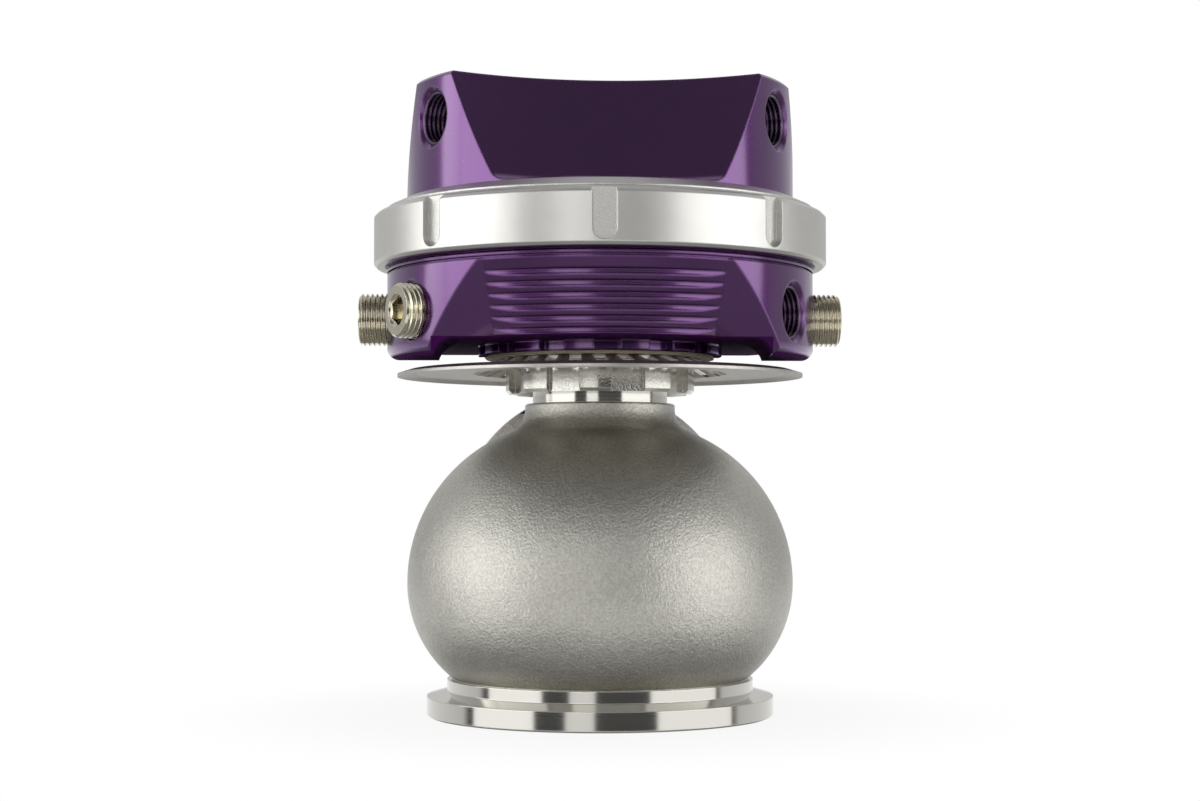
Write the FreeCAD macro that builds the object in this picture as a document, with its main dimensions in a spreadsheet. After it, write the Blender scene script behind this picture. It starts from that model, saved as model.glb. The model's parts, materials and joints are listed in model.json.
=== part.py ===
"""Turbo wastegate: a poppet valve in a cast body under a spring and diaphragm actuator.

Millimetres. The origin is on the valve's axis at the inlet face, +Z up along the stem,
and the outlet looks toward +Y. Each piece takes its sizes from the sheet below.
"""
import FreeCAD, Part
import os
import Sketcher
from math import atan, cos, pi, radians, sin, sqrt, tan

Vector = FreeCAD.Vector
Rotation = FreeCAD.Rotation
Placement = FreeCAD.Placement

os.makedirs("parts", exist_ok=True)
doc = FreeCAD.newDocument("wastegate")
sheet = doc.addObject("Spreadsheet::Sheet", "sizes")

# Driving sizes: name, value, what it is
SIZES = [
    ("clearance", 0.3, "gap between pieces that don't touch"),
    ("fit_gap", 0.05, "radial gap of a close fit"),
    ("seat_gap", 0.05, "gap between faces that are screwed or rest on each other"),
    ("overrun", 1.0, "how far a cutter passes the faces that it cuts"),
    # Inlet
    ("inlet_flange_width", 3.9, "V-band inlet flange past its band"),
    ("inlet_flange_height", 3.75, "straight part of the inlet flange's rim"),
    ("flange_back_rise", 1.05, "rise of a V-band flange's sloped back"),
    ("inlet_band_wall", 2.6, "machined band over the inlet flange, past the seat"),
    ("inlet_band_top", 7.0, "top of the machined band"),
    ("rim_chamfer", 0.3, "small chamfer on machined rims"),
    # Cast body
    ("ball_swell", 7.75, "widest place of the cast body past the inlet's band"),
    ("ball_height", 25.5, "height of the widest place"),
    ("ball_foot_inset", 1.2, "foot of the casting inside the inlet's band"),
    ("shoulder_run", 4.4, "from the neck out to where the shoulder meets the neck's fillet"),
    ("shoulder_end_height", 53.9, "height where the shoulder meets the neck's fillet"),
    ("neck_step", 1.5, "neck of the cast body past its spigot"),
    ("neck_fillet", 5.0, "fillet at the foot of the neck"),
    ("neck_top", 60.0, "machined top of the neck"),
    ("neck_wall", 0.9, "straight part of the neck over its fillet"),
    ("body_wall", 3.8, "wall of the casting"),
    ("chamber_roof_wall", 2.9, "from the shoulder down to the chamber's roof"),
    ("guide_boss_radius", 10.5, "radius of the boss that holds the guide"),
    ("spigot_radius", 13.1, "threaded spigot on the neck"),
    ("spigot_reach", 8.1, "top of the spigot over the housing's seat"),
    # Outlet
    ("outlet_height", 34.8, "height of the outlet's axis"),
    ("outlet_reach", 50.9, "outlet face from the valve's axis"),
    ("outlet_flange_width", 3.9, "V-band outlet flange past its band"),
    ("outlet_flange_thickness", 3.75, "straight part of the outlet flange's rim"),
    ("outlet_band_stand", 0.6, "machined band behind the outlet flange, past the pipe"),
    ("outlet_band_length", 2.4, "length of that band"),
    ("outlet_pipe_wall", 3.2, "wall of the outlet pipe at its machined mouth"),
    ("outlet_bore_radius", 22.5, "machined mouth of the outlet passage"),
    ("outlet_mouth_length", 15.0, "length of that mouth"),
    ("outlet_cast_inset", 0.6, "cast passage inside its machined mouth"),
    ("outlet_mouth_taper", 1.0, "taper from that mouth down to the cast passage"),
    # Seat and valve
    ("seat_bore_radius", 22.5, "gas way through the seat"),
    ("seat_wall", 4.5, "wall of the seat ring"),
    ("seat_thickness", 6.5, "height of the seat ring"),
    ("seat_land", 1.5, "height of the 45 degree seating land"),
    ("valve_margin", 1.1, "straight rim of the valve's head"),
    ("valve_overlap", 0.6, "how far the valve's head stands past the land"),
    ("stem_radius", 4.0, "valve stem"),
    ("stem_flare", 9.0, "height of the flare under the stem"),
    ("stem_thread_radius", 3.0, "threaded end of the stem"),
    ("stem_end_length", 12.0, "threaded end of the stem, from its shoulder"),
    # Guide and seal
    ("guide_radius", 7.0, "outside of the bronze guide"),
    ("guide_drop", 7.0, "how far the guide stands into the chamber"),
    ("seal_pocket_depth", 6.4, "depth of the seal's pocket in the spigot"),
    ("seal_pocket_radius", 9.0, "pocket in the spigot for the stem seal"),
    ("seal_height", 3.4, "height of the stem seal"),
    ("retainer_height", 1.0, "height of the seal's retaining ring"),
    ("retainer_bore", 4.8, "bore radius of the retaining ring"),
    # Lock nut
    ("nut_stand", 1.9, "bottom of the lock nut over the neck"),
    ("nut_height", 6.1, "height of the lock nut"),
    ("nut_radius", 18.35, "outside of the nut's lugs"),
    ("nut_slot_floor", 16.7, "radius of the nut's slot floors"),
    ("nut_slot_width", 6.6, "width of a slot in the nut"),
    ("nut_lug_count", 9, "lugs on the nut"),
    ("nut_turn", -3.8, "angle of the first lug"),
    # Heat shield
    ("shield_sheet", 0.6, "sheet thickness of the heat shield"),
    ("shield_rim_radius", 39.4, "rim of the heat shield"),
    ("shield_rim_drop", 2.85, "from the crown down to the rim"),
    ("shield_knee", 2.3, "width of the turned-down rim"),
    ("shield_plate_drop", 2.15, "from the crown down to the flat part"),
    ("shield_cone_radius", 24.4, "foot of the cone"),
    ("shield_crown_radius", 19.3, "top of the cone"),
    ("louvre_count", 28, "slots in the cone"),
    ("louvre_width", 2.3, "width of a slot"),
    ("louvre_slant", 14.0, "slant of a slot"),
    # Insulator and lower housing
    ("insulator_radius", 22.2, "outside of the insulator"),
    ("insulator_sheet", 0.55, "thickness of the insulator"),
    ("boss_radius", 23.7, "castellated boss under the housing"),
    ("boss_height", 1.95, "height of the boss"),
    ("boss_slot_floor", 21.3, "radius of the boss's slot floors"),
    ("boss_slot_width", 4.9, "width of a slot in the boss"),
    ("boss_lug_count", 14, "lugs on the boss"),
    ("boss_turn", 14.4, "angle of the first lug"),
    ("pad_radius", 41.4, "outside of the port pads"),
    ("pad_height", 13.65, "height of the port pads over the underside"),
    ("pad_face_reach", 25.0, "front face of the pads from the axis, at the feet"),
    ("pad_face_slope", 0.57, "how fast that face comes forward with height"),
    ("pad_foot_drop", 2.95, "how far a pad's foot hangs under the floor"),
    ("pad_foot_width", 10.1, "width of a pad's foot"),
    ("pad_foot_round", 4.0, "cove beside a pad's foot"),
    ("pad_foot_rear", 4.4, "how far before the axis a foot ends"),
    ("pad_edge_round", 2.4, "round under a pad"),
    ("drum_inset", 8.0, "foot of the finned wall inside the pads"),
    ("drum_edge", 0.3, "chamfer under the finned wall"),
    ("drum_slope", 0.55, "how fast the finned wall comes out with height"),
    ("fin_count", 6, "grooves in the finned wall"),
    ("fin_pitch", 2.03, "pitch of the grooves"),
    ("fin_gap", 0.95, "width of a groove"),
    ("fin_depth", 1.2, "depth of a groove at mid panel"),
    ("fin_setback", 9.0, "how much flatter than the wall a groove's floor is"),
    ("fin_reach", 22.0, "how far a groove's cutter runs to each side"),
    ("first_fin", 0.95, "middle of the lowest groove over the underside"),
    ("scoop_arc", 51.0, "radius of the cap's scoops, seen from above"),
    ("rim_groove_depth", 0.7, "depth of the groove over the pads"),
    ("rim_groove_height", 0.4, "height of the groove over the pads"),
    ("rim_band_height", 0.55, "height of the band over that groove"),
    ("thread_inset", 0.2, "thread for the collar inside the pads"),
    ("housing_floor_wall", 5.9, "floor of the diaphragm chamber"),
    ("housing_wall", 9.4, "wall round the diaphragm chamber, at the pads"),
    ("housing_thread_length", 7.1, "from the pads up to the diaphragm's rim"),
    ("housing_turn", 0.7, "angle of the lower housing about the stem"),
    # Ports
    ("port_radius", 4.95, "thread bore of a port, at mid thread"),
    ("port_mouth_radius", 5.85, "chamfer at a port's mouth"),
    ("port_depth", 8.4, "depth of a port's thread"),
    ("port_passage_radius", 1.5, "drilled way from a port into its chamber"),
    ("port_rise", 5.25, "middle of the housing's ports over the underside"),
    ("front_port_angle", 60.0, "angle of the two front ports"),
    ("side_port_angle", 91.0, "angle of the two side ports"),
    ("plug_radius", 5.12, "pipe plug's thread, outside the port"),
    ("plug_socket_flats", 4.8, "hex socket across flats"),
    ("plug_socket_depth", 4.0, "depth of the hex socket"),
    ("front_plug_stand", 2.9, "how far the front plug stands out"),
    ("side_plug_stand", 5.4, "how far the side plugs stand out"),
    ("plug_grip", 6.0, "length of a plug inside its port"),
    # Diaphragm stack
    ("diaphragm_sheet", 1.0, "thickness of the diaphragm"),
    ("diaphragm_rim_sheet", 1.2, "thickness of the diaphragm's rim"),
    ("diaphragm_rim_inset", 0.6, "diaphragm's rim inside the thread"),
    ("diaphragm_wall_gap", 0.6, "diaphragm inside the chamber's wall"),
    ("piston_stand", 3.8, "underside of the piston over the floor, valve shut"),
    ("piston_thickness", 3.2, "thickness of the piston"),
    ("convolution", 3.4, "room for the diaphragm's roll round the piston"),
    ("cup_floor", 1.6, "floor of the spring cup"),
    ("cup_inset", 1.6, "spring cup inside the piston's rim"),
    ("cup_lip", 1.8, "lip that keeps the outer spring in place"),
    ("washer_radius", 6.6, "stem washer"),
    ("washer_height", 1.0, "height of the stem washer"),
    ("stem_nut_flats", 10.0, "stem nut across flats"),
    ("stem_nut_height", 5.0, "height of the stem nut"),
    # Springs
    ("outer_spring_radius", 17.0, "mean coil radius"),
    ("outer_spring_wire", 3.2, "wire diameter"),
    ("outer_spring_pitch", 6.6, "pitch, valve shut"),
    ("middle_spring_radius", 13.2, "mean coil radius"),
    ("middle_spring_wire", 2.6, "wire diameter"),
    ("middle_spring_pitch", 5.6, "pitch, valve shut"),
    ("inner_spring_radius", 9.7, "mean coil radius"),
    ("inner_spring_wire", 2.2, "wire diameter"),
    ("inner_spring_pitch", 4.7, "pitch, valve shut"),
    # Cap
    ("cap_flange_inset", 0.4, "flange that the collar holds, inside the thread"),
    ("cap_flange_height", 2.6, "height of that flange"),
    ("cap_flange_width", 3.17, "width of that flange"),
    ("cap_height", 24.9, "top of the cap over its flange"),
    ("cap_edge", 0.6, "chamfer on the cap's top edge"),
    ("cap_ledge_rise", 3.6, "foot of the scoops over the flange"),
    ("cap_scoop_mid", 15.4, "scoop from the axis at the top"),
    ("cap_scoop_slope", 0.55, "how fast a scoop goes out with depth"),
    ("scoop_corner", 3.0, "cutter corner at the foot of a scoop"),
    ("cap_bore_inset", 1.0, "bore over the diaphragm, inside the housing's"),
    ("cap_bore_rise", 1.4, "top of that bore over the flange"),
    ("cap_cone_inset", 6.4, "wide end of the spring chamber inside that bore"),
    ("spring_room", 0.5, "radial room round a spring in the cap"),
    ("outer_spring_roof", 10.7, "outer spring's seat under the cap's top"),
    ("inner_spring_roof", 6.7, "inner springs' seat under the cap's top"),
    ("cap_port_drop", 7.9, "middle of the cap's ports under its top"),
    ("cap_passage_drop", 4.2, "how far the cap's passages lie under its ports"),
    ("cap_turn", 2.0, "angle of the cap about the stem"),
    ("lobe_angle", 60.0, "angle of the two front lobes"),
    # Collar
    ("collar_wall", 2.7, "wall of the collar"),
    ("collar_drop", 5.6, "bottom of the collar under the diaphragm's rim"),
    ("collar_lip", 3.25, "thickness of the collar's lip"),
    ("collar_lip_gap", 0.27, "radial gap between the lip and the cap"),
    ("collar_step_inset", 2.4, "step in the collar's sloped top, from its side"),
    ("collar_step", 0.35, "height of that step"),
    ("collar_step_rise", 1.35, "foot of that step over the lip's underside"),
    ("collar_edge", 0.6, "chamfer on the collar's edges"),
    ("spanner_slot_count", 8, "spanner slots"),
    ("spanner_slot_width", 4.5, "width of a spanner slot"),
    ("spanner_slot_depth", 1.4, "depth of a spanner slot"),
    ("spanner_slot_rise", 1.0, "lowest point of a spanner slot over the collar's bottom"),
]


class Size:
    """A number that also knows the sheet expression it comes from."""

    def __init__(self, value, text):
        self.value = value
        self.text = text

    def __add__(self, other):
        other = as_size(other)
        return Size(self.value + other.value, "(%s + %s)" % (self.text, other.text))

    def __sub__(self, other):
        other = as_size(other)
        return Size(self.value - other.value, "(%s - %s)" % (self.text, other.text))

    def __mul__(self, other):
        other = as_size(other)
        return Size(self.value * other.value, "(%s * %s)" % (self.text, other.text))

    def __truediv__(self, other):
        other = as_size(other)
        return Size(self.value / other.value, "(%s / %s)" % (self.text, other.text))

    def __neg__(self):
        return Size(-self.value, "(0 - %s)" % self.text)


def as_size(thing):
    """A plain number as a Size, and a Size as it is."""
    if isinstance(thing, Size):
        return thing
    return Size(float(thing), repr(float(thing)))


class Sheet:
    """The driving sizes by name."""


s = Sheet()
for row, (alias, number, note) in enumerate(SIZES, start=1):
    sheet.set("A%d" % row, note)
    sheet.set("B%d" % row, str(number))
    sheet.setAlias("B%d" % row, alias)
    setattr(s, alias, Size(float(number), "sizes." + alias))
doc.recompute()


def upright_arc(run, rise):
    """Radius of a profile arc that stands upright at its wide end."""
    return (run * run + rise * rise) / (run * 2)


# Radii of the cast body, from the seat's bore outward
s.seat_radius = s.seat_bore_radius + s.seat_wall
s.inlet_band_radius = s.seat_radius + s.inlet_band_wall
s.inlet_flange_radius = s.inlet_band_radius + s.inlet_flange_width
s.ball_radius = s.inlet_band_radius + s.ball_swell
s.ball_foot_radius = s.inlet_band_radius - s.ball_foot_inset
s.neck_radius = s.spigot_radius + s.neck_step
s.shoulder_end_radius = s.neck_radius + s.shoulder_run
s.ball_lower_arc = upright_arc(s.ball_radius - s.ball_foot_radius,
                               s.ball_height - s.inlet_band_top)
s.ball_upper_arc = upright_arc(s.ball_radius - s.shoulder_end_radius,
                               s.shoulder_end_height - s.ball_height)
s.outlet_pipe_radius = s.outlet_bore_radius + s.outlet_pipe_wall
s.outlet_band_radius = s.outlet_pipe_radius + s.outlet_band_stand
s.outlet_flange_radius = s.outlet_band_radius + s.outlet_flange_width

# Places that follow from those sizes, from the neck up to the cap
s.chamber_roof = s.shoulder_end_height - s.chamber_roof_wall
s.nut_bottom = s.neck_top + s.nut_stand
s.nut_top = s.nut_bottom + s.nut_height
s.shield_crown = s.nut_top + s.seat_gap
s.insulator_bottom = s.shield_crown + s.shield_sheet + s.seat_gap
s.housing_bottom = s.insulator_bottom + s.insulator_sheet + s.seat_gap
s.housing_underside = s.housing_bottom + s.boss_height
s.pad_top = s.housing_underside + s.pad_height
s.port_height = s.housing_underside + s.port_rise
s.housing_floor = s.housing_bottom + s.housing_floor_wall
s.housing_top = s.pad_top + s.housing_thread_length
s.spigot_top = s.housing_bottom + s.spigot_reach
s.guide_top = s.spigot_top - s.seal_pocket_depth
s.guide_bottom = s.chamber_roof - s.guide_drop
s.piston_bottom = s.housing_floor + s.piston_stand
s.stem_end = s.piston_bottom + s.stem_end_length
s.cap_flange_bottom = s.housing_top + s.diaphragm_rim_sheet
s.cap_flange_top = s.cap_flange_bottom + s.cap_flange_height
s.cap_ledge = s.cap_flange_top + s.cap_ledge_rise
s.cap_top = s.cap_flange_top + s.cap_height
s.cap_port_height = s.cap_top - s.cap_port_drop
s.outer_spring_top = s.cap_top - s.outer_spring_roof
s.inner_spring_top = s.cap_top - s.inner_spring_roof
s.collar_bottom = s.housing_top - s.collar_drop
s.collar_lip_bottom = s.cap_flange_top + s.seat_gap
s.collar_top = s.collar_lip_bottom + s.collar_lip

# Radii that follow from the pads' radius
s.drum_radius = s.pad_radius - s.drum_inset
s.housing_thread_radius = s.pad_radius - s.thread_inset
s.housing_bore_radius = s.pad_radius - s.housing_wall
s.diaphragm_rim_radius = s.housing_thread_radius - s.diaphragm_rim_inset
s.diaphragm_wall_radius = s.housing_bore_radius - s.diaphragm_wall_gap
s.piston_radius = s.diaphragm_wall_radius - s.convolution
s.cup_radius = s.piston_radius - s.cup_inset
s.cap_flange_radius = s.housing_thread_radius - s.cap_flange_inset
s.cap_radius = s.cap_flange_radius - s.cap_flange_width
s.cap_bore_radius = s.housing_bore_radius - s.cap_bore_inset
s.cap_cone_radius = s.cap_bore_radius - s.cap_cone_inset
s.cap_spring_radius = s.outer_spring_radius + s.outer_spring_wire / 2 + s.spring_room
s.cap_pocket_radius = s.middle_spring_radius + s.middle_spring_wire / 2 + s.spring_room
s.collar_thread_radius = s.housing_thread_radius + s.fit_gap * 2
s.collar_radius = s.collar_thread_radius + s.collar_wall
s.collar_lip_radius = s.cap_radius + s.collar_lip_gap
s.collar_step_radius = s.collar_radius - s.collar_step_inset


# Small helpers

def bind(thing, prop, size):
    """Drive a property by the sheet."""
    thing.setExpression(prop, as_size(size).text)


def new_body(name):
    return doc.addObject("PartDesign::Body", name)


def origin_plane(body, role):
    """One of the body's own origin planes or axes."""
    for feature in body.Origin.OriginFeatures:
        if feature.Role == role:
            return feature
    raise ValueError("no origin feature " + role)


def new_sketch(body, name, role):
    """A sketch on one of the body's own planes."""
    sketch = body.newObject("Sketcher::SketchObject", name)
    sketch.AttachmentSupport = (origin_plane(body, role), "")
    sketch.MapMode = "FlatFace"
    return sketch


def constrain(sketch, kind, element, point, size):
    """Hold one coordinate of a point at a sheet size."""
    size = as_size(size)
    if size.text == "0.0":
        axis = -2 if kind == "DistanceX" else -1
        sketch.addConstraint(Sketcher.Constraint("PointOnObject", element, point, axis))
        return
    index = sketch.addConstraint(Sketcher.Constraint(kind, element, point, size.value))
    sketch.setExpression("Constraints[%d]" % index, size.text)


def arc_between(start, end, radius, turn):
    """An arc and the order of its ends. turn is 1 for left (counter-clockwise), -1 for right."""
    chord = end - start
    middle = (start + end) * 0.5
    half = chord.Length / 2
    rise = sqrt(max(radius * radius - half * half, 0.0))
    left = Vector(-chord.y, chord.x, 0).normalize()
    centre = middle + left * (rise * turn)
    first, last = (start, end) if turn > 0 else (end, start)
    angle = Vector(1, 0, 0)
    begin = FreeCAD.Vector(first - centre)
    finish = FreeCAD.Vector(last - centre)
    a = begin.getAngle(angle) * (1 if begin.y >= 0 else -1)
    b = finish.getAngle(angle) * (1 if finish.y >= 0 else -1)
    circle = Part.Circle(centre, Vector(0, 0, 1), radius)
    return Part.ArcOfCircle(circle, a, b)


def draw(sketch, corners):
    """A closed outline. A corner is (x, y), or (x, y, radius, turn) where an arc leaves it."""
    count = len(corners)
    points = [Vector(as_size(c[0]).value, as_size(c[1]).value, 0) for c in corners]
    ends = []
    for i, corner in enumerate(corners):
        start, end = points[i], points[(i + 1) % count]
        if len(corner) == 4:
            radius, turn = as_size(corner[2]), corner[3]
            element = sketch.addGeometry(arc_between(start, end, radius.value, turn))
            index = sketch.addConstraint(Sketcher.Constraint("Radius", element, radius.value))
            sketch.setExpression("Constraints[%d]" % index, radius.text)
            ends.append((element, 1, 2) if turn > 0 else (element, 2, 1))
        else:
            element = sketch.addGeometry(Part.LineSegment(start, end))
            ends.append((element, 1, 2))
    for i in range(count):
        element, _, last = ends[i]
        following, first, _ = ends[(i + 1) % count]
        sketch.addConstraint(Sketcher.Constraint("Coincident", element, last, following, first))
    for i, corner in enumerate(corners):
        element, first, _ = ends[i]
        constrain(sketch, "DistanceX", element, first, corner[0])
        constrain(sketch, "DistanceY", element, first, corner[1])
    return sketch


def circle(sketch, radius, x=0, y=0):
    """A circle held by its centre and radius."""
    radius = as_size(radius)
    centre = Vector(as_size(x).value, as_size(y).value, 0)
    element = sketch.addGeometry(Part.Circle(centre, Vector(0, 0, 1), radius.value))
    index = sketch.addConstraint(Sketcher.Constraint("Radius", element, radius.value))
    sketch.setExpression("Constraints[%d]" % index, radius.text)
    constrain(sketch, "DistanceX", element, 3, x)
    constrain(sketch, "DistanceY", element, 3, y)
    return sketch


def turned(body, name, corners, cut=False, role="XZ_Plane", axis="V_Axis", lift=None):
    """A revolution, or a groove, of an outline about the sketch's own axis."""
    sketch = new_sketch(body, name + "_outline", role)
    if lift is not None:
        bind(sketch, "AttachmentOffset.Base.y", lift)
        sketch.AttachmentOffset = Placement(Vector(0, lift.value, 0), Rotation())
    draw(sketch, corners)
    kind = "PartDesign::Groove" if cut else "PartDesign::Revolution"
    feature = body.newObject(kind, name)
    feature.Profile = sketch
    feature.ReferenceAxis = (sketch, [axis])
    feature.Angle = 360
    return feature


def round_about(body, feature, count):
    """Repeat a feature round the body's own Z axis."""
    pattern = body.newObject("PartDesign::PolarPattern", feature.Name + "_ring")
    pattern.Originals = [feature]
    pattern.Axis = (origin_plane(body, "Z_Axis"), [""])
    pattern.Angle = 360
    pattern.Occurrences = int(count.value)
    bind(pattern, "Occurrences", count)
    body.Tip = pattern
    return pattern


def slots_from_below(body, name, corners, depth, count):
    """Pockets cut upward from the XY plane and repeated round the axis."""
    sketch = new_sketch(body, name + "_outline", "XY_Plane")
    draw(sketch, corners)
    pocket = body.newObject("PartDesign::Pocket", name)
    pocket.Profile = sketch
    bind(pocket, "Length", depth)
    pocket.Reversed = True
    return round_about(body, pocket, count)


def cylinder(name, radius, height, base):
    """A primitive cylinder on the stem's axis."""
    piece = doc.addObject("Part::Cylinder", name)
    bind(piece, "Radius", radius)
    bind(piece, "Height", height)
    bind(piece, "Placement.Base.z", base)
    return piece


def boolean(kind, name, base, tool):
    """A Part::Cut, Part::Fuse or Part::Common of two objects."""
    result = doc.addObject("Part::" + kind, name)
    result.Base = base
    result.Tool = tool
    return result


def gather(name, things):
    """Several tools as one."""
    group = doc.addObject("Part::MultiFuse", name)
    group.Shapes = things
    return group


def turned_copy(name, source, angle):
    """A linked copy of a tool, turned about the stem."""
    angle = as_size(angle)
    copy = doc.addObject("App::Link", name)
    copy.LinkedObject = source
    copy.Placement = Placement(Vector(0, 0, 0), Rotation(Vector(0, 0, 1), angle.value))
    bind(copy, "Placement.Rotation.Angle", angle)
    return copy


def hexagon(flats):
    """Corners of a hexagon about the sketch's origin, by its width across flats."""
    half = flats / 2
    corner = flats / sqrt(3)
    edge = corner / 2
    return [(corner, 0), (edge, half), (-edge, half), (-corner, 0), (-edge, -half), (edge, -half)]


FRONT = -90.0
nodes = {}


def node(name, piece, turn=None):
    """Name a finished piece, and turn it about the stem."""
    piece.Label = name
    if turn is not None:
        spin = Rotation(Vector(0, 0, 1), turn.value)
        piece.Placement = Placement(Vector(0, 0, 0), spin)
        bind(piece, "Placement.Rotation.Angle", turn)
    nodes[name] = piece
    return piece


# Valve body: one casting with a V-band flange below and one behind

def arc_reach(arc, rise):
    """How far a profile arc reaches sideways from its centre at a given rise."""
    return Size(sqrt(arc.value ** 2 - rise.value ** 2),
                "sqrt(%s ^ 2 - %s ^ 2)" % (arc.text, rise.text))


SHOULDER_TURN = radians(65.0)


def make_valve_body():
    body = new_body("valve_body_casting")
    flange_top = s.inlet_flange_height + s.flange_back_rise
    turned(body, "casting", [
        (0, 0),
        (s.inlet_flange_radius - s.rim_chamfer, 0),
        (s.inlet_flange_radius, s.rim_chamfer),
        (s.inlet_flange_radius, s.inlet_flange_height),
        (s.inlet_band_radius, flange_top),
        (s.inlet_band_radius, s.inlet_band_top),
        (s.ball_foot_radius, s.inlet_band_top, s.ball_lower_arc, 1),
        (s.ball_radius, s.ball_height, s.ball_upper_arc, 1),
        (s.shoulder_end_radius, s.shoulder_end_height),
        (s.neck_radius + s.neck_fillet * (1 - cos(SHOULDER_TURN)),
         s.neck_top - s.neck_wall - s.neck_fillet * sin(SHOULDER_TURN), s.neck_fillet, -1),
        (s.neck_radius, s.neck_top - s.neck_wall),
        (s.neck_radius, s.neck_top - s.rim_chamfer),
        (s.neck_radius - s.rim_chamfer, s.neck_top),
        (s.spigot_radius, s.neck_top),
        (s.spigot_radius, s.spigot_top - s.rim_chamfer),
        (s.spigot_radius - s.rim_chamfer, s.spigot_top),
        (0, s.spigot_top),
    ])
    back = s.outlet_reach - s.outlet_flange_thickness
    band = back - s.flange_back_rise
    pipe = band - s.outlet_band_length
    turned(body, "outlet", [
        (0, 0),
        (s.outlet_reach, 0),
        (s.outlet_reach, s.outlet_flange_radius - s.rim_chamfer),
        (s.outlet_reach - s.rim_chamfer, s.outlet_flange_radius),
        (back, s.outlet_flange_radius),
        (band, s.outlet_band_radius),
        (pipe, s.outlet_band_radius),
        (pipe, s.outlet_pipe_radius),
        (0, s.outlet_pipe_radius),
    ], role="YZ_Plane", axis="H_Axis", lift=s.outlet_height)
    mouth = s.outlet_reach - s.outlet_mouth_length
    cast_way = s.outlet_bore_radius - s.outlet_cast_inset
    wall = s.body_wall
    seat_pocket = s.seat_radius + s.fit_gap
    lower = s.ball_lower_arc - wall
    upper = s.ball_upper_arc - wall
    chamber_radius = s.ball_radius - wall
    throat = s.seat_radius - wall / 2
    throat_rise = s.ball_height - s.seat_thickness - wall
    throat_arc = s.ball_radius - s.ball_lower_arc + arc_reach(lower, throat_rise)
    turned(body, "chamber", [
        (0, 0),
        (seat_pocket, 0),
        (seat_pocket, s.seat_thickness),
        (throat, s.seat_thickness),
        (throat_arc, s.seat_thickness + wall, lower, 1),
        (chamber_radius, s.ball_height, upper, 1),
        (s.guide_boss_radius + wall, s.chamber_roof),
        (s.guide_boss_radius, s.chamber_roof),
        (0, s.chamber_roof),
    ], cut=True)
    turned(body, "outlet_way", [
        (0, 0),
        (s.outlet_reach, 0),
        (s.outlet_reach, s.outlet_bore_radius),
        (mouth, s.outlet_bore_radius),
        (mouth - s.outlet_mouth_taper, cast_way),
        (0, cast_way),
    ], cut=True, role="YZ_Plane", axis="H_Axis", lift=s.outlet_height)
    turned(body, "guide_bore", [
        (0, s.ball_height),
        (s.guide_radius + s.fit_gap, s.ball_height),
        (s.guide_radius + s.fit_gap, s.guide_top),
        (s.seal_pocket_radius, s.guide_top),
        (s.seal_pocket_radius, s.spigot_top),
        (0, s.spigot_top),
    ], cut=True)
    return node("valve_body", body)


def make_valve_seat():
    body = new_body("valve_seat_ring")
    turned(body, "seat", [
        (s.seat_bore_radius, 0),
        (s.seat_radius, 0),
        (s.seat_radius, s.seat_thickness),
        (s.seat_bore_radius + s.seat_land, s.seat_thickness),
        (s.seat_bore_radius, s.seat_thickness - s.seat_land),
    ])
    return node("valve_seat", body)


def make_valve():
    body = new_body("poppet")
    face_gap = s.seat_gap * 1.414
    head_bottom = s.seat_thickness - s.seat_land + face_gap
    head_radius = s.seat_bore_radius + s.seat_land + s.valve_overlap
    face_top = head_bottom + s.seat_land + s.valve_overlap
    rim_top = face_top + s.valve_margin
    turned(body, "poppet_turning", [
        (0, head_bottom),
        (s.seat_bore_radius, head_bottom),
        (head_radius, face_top),
        (head_radius, rim_top),
        (s.stem_radius + s.stem_flare, rim_top + s.valve_margin, s.stem_flare * 1.05, -1),
        (s.stem_radius, rim_top + s.valve_margin + s.stem_flare),
        (s.stem_radius, s.piston_bottom),
        (s.stem_thread_radius, s.piston_bottom),
        (s.stem_thread_radius, s.stem_end - s.rim_chamfer),
        (s.stem_thread_radius - s.rim_chamfer, s.stem_end),
        (0, s.stem_end),
    ])
    return node("valve", body)


def ring(name, inner, outer, bottom, top, chamfer=None):
    """A plain turned ring."""
    body = new_body(name + "_turning")
    if chamfer is None:
        outline = [(inner, bottom), (outer, bottom), (outer, top), (inner, top)]
    else:
        outline = [(inner, bottom), (outer - chamfer, bottom), (outer, bottom + chamfer),
                   (outer, top - chamfer), (outer - chamfer, top), (inner, top)]
    turned(body, name + "_ring", outline)
    return node(name, body)


def make_guide_and_seal():
    bore = s.stem_radius + s.fit_gap
    ring("valve_guide", bore, s.guide_radius, s.guide_bottom, s.guide_top, s.rim_chamfer)
    seal_bottom = s.guide_top + s.fit_gap
    seal_top = seal_bottom + s.seal_height
    body = new_body("stem_seal_moulding")
    middle = seal_bottom + s.seal_height / 2
    turned(body, "stem_seal_lips", [
        (bore, seal_bottom),
        (s.seal_pocket_radius - s.fit_gap, seal_bottom),
        (s.seal_pocket_radius - s.fit_gap, seal_top),
        (bore, seal_top),
        (bore + s.seal_height / 4, middle),
    ])
    node("stem_seal", body)
    ring("seal_retainer", s.retainer_bore, s.seal_pocket_radius - s.fit_gap,
         seal_top + s.fit_gap, seal_top + s.fit_gap + s.retainer_height)


# Lock nut, heat shield and insulator, clamped on the spigot

def slot_outline(inner, outer, width):
    """A straight radial slot that opens outward, pointing along +X."""
    half = width / 2
    return [(inner, -half), (outer, -half), (outer, half), (inner, half)]


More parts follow.
